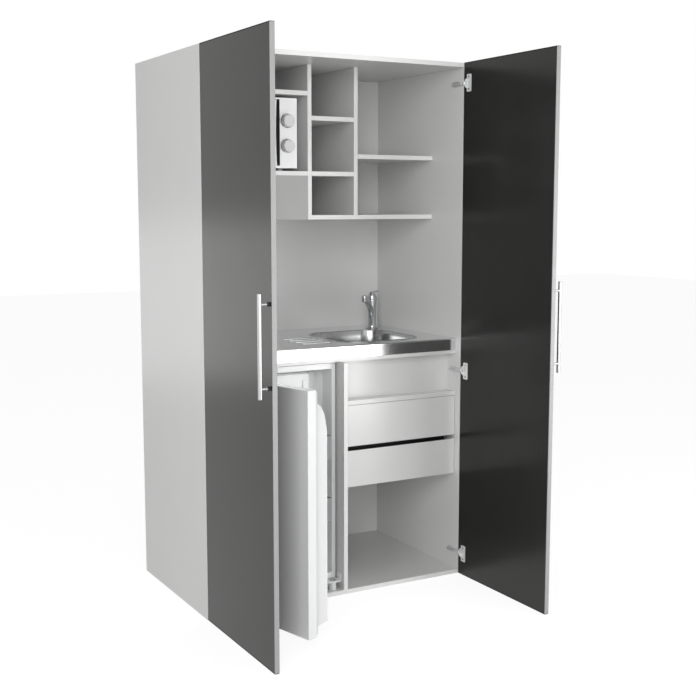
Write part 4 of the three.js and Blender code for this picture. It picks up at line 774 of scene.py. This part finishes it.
class KITCHENETTE_OT_tap(bpy.types.Operator):
    """Makes the single-lever mixer tap"""

    bl_idname = "kitchenette.tap"
    bl_label = "Mixer tap"

    # Profiles as (radius, height over the worktop)
    COLUMN = [(0, -36), (14.5, -36), (15, 0.1), (24.5, 0.3), (25, 1.0), (24.4, 2.6), (22.6, 3.8), (18.0, 4.6),
              (16.6, 6.0), (16.0, 12), (15.8, 26), (15.8, 42), (16.4, 64), (17.4, 88), (18.5, 106),
              (18.9, 111), (18.9, 114.4), (18.4, 115.1), (15.1, 115.1), (15.0, 105.6), (0, 105.4)]
    NOZZLE = [(0, 117.6), (8.6, 117.6), (9.0, 115.4), (10.2, 114.8), (10.9, 115.4), (11.2, 117.5),
              (11.4, 124), (11.4, 134), (10.9, 137.4), (9.2, 139.4), (0, 140)]
    COLLAR = [(14.6, 107.5), (14.6, 115.3), (18.3, 115.4), (18.9, 116.0), (19.0, 126.6), (18.4, 127.8),
              (17.0, 128.0)]
    # Middle lines as (distance out along the spout, height over the worktop)
    SPOUT = ((2, 40), (11, 62), (24, 82), (44, 100), (68, 114), (88, 123), (100, 127.5))
    LEVER = ((9, 142.2), (0, 144.6), (-16, 146.0), (-36, 146.0), (-56, 146.2), (-72, 146.6))
    TURN, REACH = math.radians(-138), 100
    BALL, BALL_LEVEL, BALL_LOW = 16, 128, -8.5
    SEAT, SEAT_INSIDE = 16.3, 12.8

    def execute(self, context):
        out = np.array([math.cos(self.TURN), math.sin(self.TURN), 0.0])
        side = np.array([-math.sin(self.TURN), math.cos(self.TURN), 0.0])

        def path(rows, count):
            return curve_through([TAP + out * r + (0, 0, h) for r, h in rows], count)

        share = np.linspace(0, 1, 40)
        spout = swept(path(self.SPOUT, 40), side, 13.0 - 2.6 * share, 13.5 - 4.0 * share, 40)
        nozzle = moved(turned(self.NOZZLE, 48), TAP + out * self.REACH)
        body = together(moved(turned(self.COLUMN, 64), TAP), spout, nozzle)
        piece("tap_column_and_spout", body, "chrome", "cabinet", "tap_body")
        # The collar's inner side follows the ball's seat; its skirt hangs into the column
        seat = [(math.sqrt(max(self.SEAT**2 - h * h, self.SEAT_INSIDE**2)), self.BALL_LEVEL + h)
                for h in np.linspace(0.0, self.COLLAR[0][1] - self.BALL_LEVEL, 8)]
        collar = moved(turned([*self.COLLAR, *seat], 64, closed=True), TAP)
        piece("tap_turning_collar", collar, "chrome", "tap_cap", "tap_cap")
        dome = [(self.BALL * math.cos(a), self.BALL * math.sin(a))
                for a in np.linspace(math.asin(self.BALL_LOW / self.BALL), math.pi / 2, 16)]
        ball = moved(turned([(0, dome[0][1]), *dome], 56), TAP + (0, 0, self.BALL_LEVEL))
        # The lever is flat and slowly narrows; its two ends are round
        along = np.linspace(0, 1, 36)
        tip, heel = (np.sqrt(np.clip(1 - np.clip(past / 0.08, 0, 1) ** 2, 0.02, 1))
                     for past in (along - 0.92, 0.08 - along))
        stick = swept(path(self.LEVER, 36), side, (9.0 - 1.6 * along) * tip * heel,
                      (4.0 - 1.3 * along) * tip * heel, 32, 0.6)
        piece("tap_ball_and_lever", together(ball, stick), "chrome", "tap_lever", "tap_lever")
        return {"FINISHED"}


class KITCHENETTE_OT_hob(bpy.types.Operator):
    """Makes the two hotplates and the hob's knobs"""

    bl_idname = "kitchenette.hob"
    bl_label = "Hotplates and knobs"

    PLATES = {"front": ((176.0, 175.0), 72.5), "rear": ((176.0, 380.0), 90.0)}
    KNOBS = {"front": 100.0, "rear": 170.0}
    KNOB_Y, KNOB_Z = 30.0, 877.5  # the apron's face and the knobs' level
    # The spill ring as distance past the plate's edge and height, the plate's rim as distance in and height
    RING = ((8.2, 0.1), (8.0, 1.6), (6.6, 2.9), (4, 3.4), (0.4, 3.4), (-0.6, 2.2), (-3, 1.6), (-5, 0.1))
    RIM = ((8, -28), (7, 0), (1.4, 1.8), (0.8, 6.6), (1.4, 7.7), (3, 8.2))

    def execute(self, context):
        for name, (at, radius) in self.PLATES.items():
            ring = turned([(radius + out, z) for out, z in self.RING], 96, closed=True)
            piece(f"{name}_spill_ring", moved(ring, (*at, WORKTOP)), "chrome", "cabinet")
            grooves = []
            for r in np.arange(radius - 8, 27, -7.5):
                grooves += [(r, 8.0), (r - 1.2, 7.75), (r - 2.4, 8.0)]
            rim = [(radius - inset, z) for inset, z in self.RIM]
            disc = turned([(0, -28), *rim, *grooves, (21.5, 8.0), (20, 6.4), (0, 6.2)], 96)
            piece(f"{name}_cast_plate", moved(disc, (*at, WORKTOP)), "iron", "cabinet",
                  f"hotplate_{name}")
        for name, x in self.KNOBS.items():
            grip_knob(f"hob_{name}_knob", (x, self.KNOB_Y - 0.3, self.KNOB_Z), 17.0, 18.0, f"hob_knob_{name}")
            marks = dial_marks((x, self.KNOB_Y, self.KNOB_Z), 20.0, range(0, 300, 50))
            piece(f"hob_{name}_dial_marks", marks, "shadow", "cabinet")
        return {"FINISHED"}


def disc_knob(name, at, radius, reach, body, node):
    """A turned disc with a soft rim and a shallow dish, and a pointer line near its rim."""
    profile = [(0, -0.1), (radius - 0.5, -0.1), (radius, 0.5), (radius - 0.2, reach - 2.6),
               (radius - 0.9, reach - 0.8), (radius - 2.4, reach), (radius - 5, reach - 0.3),
               (0, reach - 0.9)]
    piece(name, facing(turned(profile, 64), at, "-y"), "dial", body, node)
    line = rounded_box((-0.7, radius * 0.62, reach - 0.6), (0.7, radius - 2.6, reach + 0.15), 0.15, 2)
    piece(f"{name}_line", facing(line, at, "-y"), "print", body)


def grip_knob(name, at, radius, reach, body):
    """A turned knob with a flange, a raised grip with rounded ends, and a pointer line on it. Its body and
    its solid have the same name."""
    profile = [(0, -0.1), (radius - 0.6, -0.1), (radius, 0.5), (radius, 2.2), (radius - 0.8, 3.2),
               (radius - 2.6, 4.2), (radius - 3.4, 6.0), (radius - 4.4, reach - 6.2),
               (radius - 5.2, reach - 4.8), (radius - 6.6, reach - 4.2), (0, reach - 4.0)]
    grip = rounded_box((-3.0, -(radius - 4.2), reach - 7), (3.0, radius - 4.2, reach), 1.4, 4)
    piece(name, facing(together(turned(profile, 56), grip), at, "-y"), "black", body, body)
    line = rounded_box((-0.6, radius * 0.25, reach - 0.4), (0.6, radius - 5.4, reach + 0.08), 0.15, 2)
    piece(f"{name}_line", facing(line, at, "-y"), "moulding", body)


def dial_marks(at, radius, angles):
    """Short raised dashes round a knob, one for each setting."""
    dash = rounded_box((-0.45, radius, -0.3), (0.45, radius + 2.6, 0.12), 0.1, 1)
    return together(*(facing(moved(dash, turn=-degrees), at, "-y") for degrees in angles))


class KITCHENETTE_OT_refrigerator(bpy.types.Operator):
    """Finishes the refrigerator, its door, shelves and freezer box"""

    bl_idname = "kitchenette.refrigerator"
    bl_label = "Refrigerator"

    # Each solid's finish, edge radius and steps over the edge
    # The refrigerator's cabinet and freezer flap take the lighter gloss white, painted light against the
    # door's shade.
    SOFT = {
        "fridge_cabinet": ("gloss", 1.2, 3), "fridge_base": ("moulding", 0.5),
        "freezer_box": ("moulding", 0.8), "freezer_flap": ("gloss", 0.8),
        "fridge_door_liner": ("enamel", 2.0, 3), "fridge_door_gasket": ("seal", 1.5, 3),
        "fridge_door_shell": ("enamel", 2.0, 3),
        "fridge_shelf_lower": ("glass", 0.6), "fridge_shelf_upper": ("glass", 0.6),
    }
    GUARD_X, GUARD_Y, GUARD_HEIGHT, GUARD_CORNER = (81.0, 475.0), (88.0, 152.0), 76, 6
    GUARDS = {"middle": 397.0, "top": 597.0}
    LEVELLING_FOOT = (497.0, 29.0, 0)
    RING = [(7.0, 50.2), (7.0, 51.2), (7.4, 51.5), (10.6, 51.5), (11, 51.2), (11, 50.2)]

    def execute(self, context):
        for node, look in self.SOFT.items():
            dress_soft(node, *look)
        # Bottle guards: cloudy strips round the pockets' mouths, with round corners
        turn = np.linspace(0, math.pi / 2, 6)
        corner = self.GUARD_CORNER * np.array([(1 - math.cos(a), math.sin(a)) for a in turn])
        x, y = self.GUARD_X, self.GUARD_Y
        bend = y[1] - self.GUARD_CORNER
        left = np.column_stack([x[0] + corner[:, 0], bend + corner[:, 1]])
        right = np.column_stack([x[1] - corner[::-1, 0], bend + corner[::-1, 1]])
        plan = np.vstack([[(x[0], y[0])], left, right, [(x[1], y[0])]])
        for name, low in self.GUARDS.items():
            guard = bent_strip(plan, -2.4, (low, low + self.GUARD_HEIGHT))
            piece(f"{name}_rack_guard", moved(guard, turn=-FRIDGE_OPEN, about=FRIDGE_PIN), "guard",
                  "fridge_door")
        # The bracket on the base's corner lies under the door's edge and turns up beside it; the levelling
        # foot's ring lies on it
        bracket = together(plate((466, 526.6), (14, 46), (49.1, 50.3), 3),
                           rounded_box((523.4, 16, 49.3), (526.4, 44, 74), 0.8),
                           rounded_box((521.4, 16, 62), (524.4, 44, 65), 0.6))
        # The bracket takes the same lighter gloss white, which is painted light.
        piece("hinge_bracket", bracket, "gloss", "cabinet")
        ring = moved(turned(self.RING, 40, closed=True), self.LEVELLING_FOOT)
        piece("levelling_ring", ring, "print", "cabinet")
        return {"FINISHED"}


class KITCHENETTE_OT_drawers(bpy.types.Operator):
    """Makes the drawer fronts, finishes the boxes and adds the black grip profile, painted shade in the gap
    between the fronts
    """

    bl_idname = "kitchenette.drawers"
    bl_label = "Drawers"

    # The grip profile's length and section: a channel over the lower front, whose back wall closes the gap;
    # its black is painted shade of the gap
    GRIP_X = (548.0, 984.0)
    GRIP = [(31, 517.1), (31, 518.2), (44.6, 518.2), (44.6, 531.6), (45.9, 531.6), (45.9, 517.1)]

    def execute(self, context):
        radius = context.scene.kitchenette_sizes.board_edge / MM
        for level in ("upper", "lower"):
            front = f"drawer_{level}_front"
            piece(f"{level}_drawer_front_board", rounded_box(*cabinet_box(front), radius), "front",
                  f"drawer_{level}", front)
            dress_soft(f"drawer_{level}_box", "board", 0.5)
        piece("grip_gap_shade", extruded(self.GRIP, self.GRIP_X, 0), "shadow", "drawer_lower",
              sharp=20)
        return {"FINISHED"}


class KITCHENETTE_OT_microwave(bpy.types.Operator):
    """Finishes the microwave oven and makes its knobs, window and dial marks"""

    bl_idname = "kitchenette.microwave"
    bl_label = "Microwave oven"

    KNOBS = {"power": 1602.0, "timer": 1690.0}
    KNOB_X, PANEL_Y = 418.5, 215.3
    DISH = [(0, -0.3), (24.4, -0.3), (24.4, 0.1), (24.0, 0.3), (19.6, 0.3), (0, 0.2)]
    LINE = [(24.3, -0.3), (24.3, 0.4), (25.3, 0.4), (25.3, -0.3)]
    WINDOW_SIDE, WINDOW_END, WINDOW_Y = 41, 46.5, (215.6, 218.4)
    # The bow below belongs to the black strip, painted shade of the gap at the door's opening edge.
    BOW = 4.0  # of the opening edge's trim

    def execute(self, context):
        # Casing and door take the whiter oven finish, which is painted light.
        dress_soft("microwave_casing", "panel", 0.8)
        dress_soft("microwave_door", "panel", 1.0, 3)
        dress_soft("microwave_turntable", "glass", 0.4)
        for name, z in self.KNOBS.items():
            at = (self.KNOB_X, self.PANEL_Y, z)
            disc_knob(f"oven_{name}_knob", (self.KNOB_X, self.PANEL_Y - 0.6, z), 22.0, 21.0,
                      f"microwave_{name}", f"microwave_knob_{name}")
            dish, line = turned(self.DISH, 64), turned(self.LINE, 64, closed=True)
            piece(f"oven_{name}_dial_dish", facing(dish, at, "-y"), "dial", "cabinet")
            piece(f"oven_{name}_dial_line", facing(line, at, "-y"), "print", "cabinet")
            piece(f"oven_{name}_dial_marks", dial_marks(at, 26.0, range(240, 301, 15)), "print", "cabinet")
        low, high = cabinet_box("microwave_door")
        glass = rounded_box((low[0] + self.WINDOW_SIDE, self.WINDOW_Y[0], low[2] + self.WINDOW_END),
                            (high[0] - self.WINDOW_SIDE, self.WINDOW_Y[1], high[2] - self.WINDOW_END), 0.8, 3)
        piece("oven_window", glass, "window", "microwave_door")
        # The opening edge's black trim is a strip with a bowed inner side, painted shade of the gap beside
        # the door
        edge_z = np.linspace(low[2] + 3, high[2] - 3, 25)
        bow = self.BOW * np.sin(np.pi * np.linspace(0, 1, 25)) ** 0.5
        inner = np.stack([high[0] - 10 - bow, edge_z], 1)
        outer = np.stack([np.full(25, high[0] - 0.6), edge_z], 1)
        trim = extruded(np.vstack([inner, outer[::-1]]), (low[1] - 0.9, low[1] + 1.5), 1)
        piece("oven_door_gap_shade", trim, "shadow", "microwave_door", sharp=30)
        return {"FINISHED"}


class KITCHENETTE_OT_stage(bpy.types.Operator):
    """Makes the floor, the lights and the camera"""

    bl_idname = "kitchenette.stage"
    bl_label = "Stage"

    AT, YAW, PITCH, LENS = (-1.9318, -3.7763, 1.3969), 29.41, 7.18, 59.04
    # Each softbox's place, aim, size and power
    LAMPS = {
        "fill softbox": ((-2.5, -4.0, 2.1), (0.3, 0.0, 1.0), (2.5, 2.5), 112),
        "key softbox": ((1.9, -3.3, 0.9), (0.1, -0.3, 0.8), (1.8, 1.8), 46),
        "top softbox": ((0.0, -0.8, 4.2), (0.0, 0.1, 0.0), (3.0, 3.0), 24),
        "back softbox": ((-1.75, 2.2, 0.85), (-0.52, -0.6, 0.95), (1.8, 0.9), 5.6),
    }
    SHEEN = "back softbox"  # lights nothing but the sheen on the open door
    FLOOR_HALF, FLOOR_GLOW, FLOOR_GLOW_SHARE = 14.0, 1.2, 0.72
    WORLD_LIGHT, WORLD_SEEN = 0.36, 1.0  # the backdrop's strength as light, and where it is seen

    def execute(self, context):
        scene = context.scene
        scene.view_settings.view_transform = "Standard"
        camera = bpy.data.objects.new("camera", bpy.data.cameras.new("camera"))
        camera.data.lens = self.LENS
        camera.data.sensor_width = 36.0
        yaw, pitch = math.radians(self.YAW), math.radians(self.PITCH)
        level = math.cos(pitch)
        ahead = Vector((math.sin(yaw) * level, math.cos(yaw) * level, -math.sin(pitch)))
        camera.location = self.AT
        camera.rotation_mode = "QUATERNION"
        camera.rotation_quaternion = ahead.to_track_quat("-Z", "Y")
        scene.collection.objects.link(camera)
        scene.camera = camera
        self.floor(scene)
        self.world(scene)
        for name, values in self.LAMPS.items():
            self.lamp(scene, name, *values).visible_diffuse = name != self.SHEEN
        return {"FINISHED"}

    def lamp(self, scene, name, at, towards, size, power):
        data = bpy.data.lights.new(name, "AREA")
        data.shape = "RECTANGLE"
        data.size, data.size_y = size
        data.energy = power
        lamp = bpy.data.objects.new(name, data)
        lamp.location = at
        lamp.rotation_mode = "QUATERNION"
        lamp.rotation_quaternion = (Vector(towards) - Vector(at)).to_track_quat("-Z", "Y")
        lamp.visible_camera = False
        scene.collection.objects.link(lamp)
        return lamp

    def seen_directly(self, nodes, links):
        """1 for camera, glossy and transmission rays, so that metal and glass show the background too."""
        path = nodes.new("ShaderNodeLightPath").outputs
        seen = path["Is Camera Ray"]
        for kind in ("Is Glossy Ray", "Is Transmission Ray"):
            either = nodes.new("ShaderNodeMath")
            either.operation = "MAXIMUM"
            links.new(seen, either.inputs[0])
            links.new(path[kind], either.inputs[1])
            seen = either.outputs[0]
        return seen

    def floor(self, scene):
        mesh = bpy.data.meshes.new("floor")
        half = self.FLOOR_HALF
        corners = [(-half, -half, 0), (half, -half, 0), (half, half, 0), (-half, half, 0)]
        mesh.from_pydata(corners, [], [(0, 1, 2, 3)])
        floor = bpy.data.objects.new("floor", mesh)
        scene.collection.objects.link(floor)
        material = bpy.data.materials.new("pale floor")
        material.use_nodes = True
        nodes, links = material.node_tree.nodes, material.node_tree.links
        shader = fill(nodes["Principled BSDF"], Base_Color=(0.82, 0.82, 0.82, 1), Roughness=0.9)
        glow = fill(nodes.new("ShaderNodeEmission"), Strength=self.FLOOR_GLOW)
        share = nodes.new("ShaderNodeMath")
        share.operation = "MULTIPLY"
        share.inputs[1].default_value = self.FLOOR_GLOW_SHARE
        mix = nodes.new("ShaderNodeMixShader")
        links.new(self.seen_directly(nodes, links), share.inputs[0])
        links.new(share.outputs[0], mix.inputs["Fac"])
        links.new(shader.outputs[0], mix.inputs[1])
        links.new(glow.outputs[0], mix.inputs[2])
        links.new(mix.outputs[0], nodes["Material Output"].inputs["Surface"])
        mesh.materials.append(material)

    def world(self, scene):
        scene.world = bpy.data.worlds.new("studio")
        scene.world.use_nodes = True
        nodes, links = scene.world.node_tree.nodes, scene.world.node_tree.links
        background = fill(nodes["Background"], Color=(1, 1, 1, 1))
        strength = fill(nodes.new("ShaderNodeMapRange"), To_Min=self.WORLD_LIGHT, To_Max=self.WORLD_SEEN)
        links.new(self.seen_directly(nodes, links), strength.inputs["Value"])
        links.new(strength.outputs["Result"], background.inputs["Strength"])


class KITCHENETTE_PT_panel(bpy.types.Panel):
    """Lists the kitchenette's settings and steps"""

    bl_label = "Kitchenette"
    bl_space_type = "VIEW_3D"
    bl_region_type = "UI"
    bl_category = "Kitchenette"

    def draw(self, context):
        for group in (context.scene.kitchenette_sizes, context.scene.kitchenette_colours):
            for name in group.bl_rna.properties.keys():
                if name not in {"rna_type", "name"}:
                    self.layout.prop(group, name)
        for step in STEPS:
            self.layout.operator(step.bl_idname)


STEPS = (
    KITCHENETTE_OT_boards,
    KITCHENETTE_OT_doors,
    KITCHENETTE_OT_handles,
    KITCHENETTE_OT_hinges,
    KITCHENETTE_OT_worktop,
    KITCHENETTE_OT_sink,
    KITCHENETTE_OT_tap,
    KITCHENETTE_OT_hob,
    KITCHENETTE_OT_refrigerator,
    KITCHENETTE_OT_drawers,
    KITCHENETTE_OT_microwave,
    KITCHENETTE_OT_stage,
)
CLASSES = (KitchenetteSizes, KitchenetteColours, *STEPS, KITCHENETTE_PT_panel)


def register():
    for cls in CLASSES:
        bpy.utils.register_class(cls)
    bpy.types.Scene.kitchenette_sizes = bpy.props.PointerProperty(type=KitchenetteSizes)
    bpy.types.Scene.kitchenette_colours = bpy.props.PointerProperty(type=KitchenetteColours)


def unregister():
    del bpy.types.Scene.kitchenette_colours
    del bpy.types.Scene.kitchenette_sizes
    for cls in reversed(CLASSES):
        bpy.utils.unregister_class(cls)


def main():
    register()
    make_finishes(bpy.context.scene.kitchenette_colours)
    for step in STEPS:
        group, name = step.bl_idname.split(".")
        getattr(getattr(bpy.ops, group), name)()


if __name__ == "__main__":
    main()
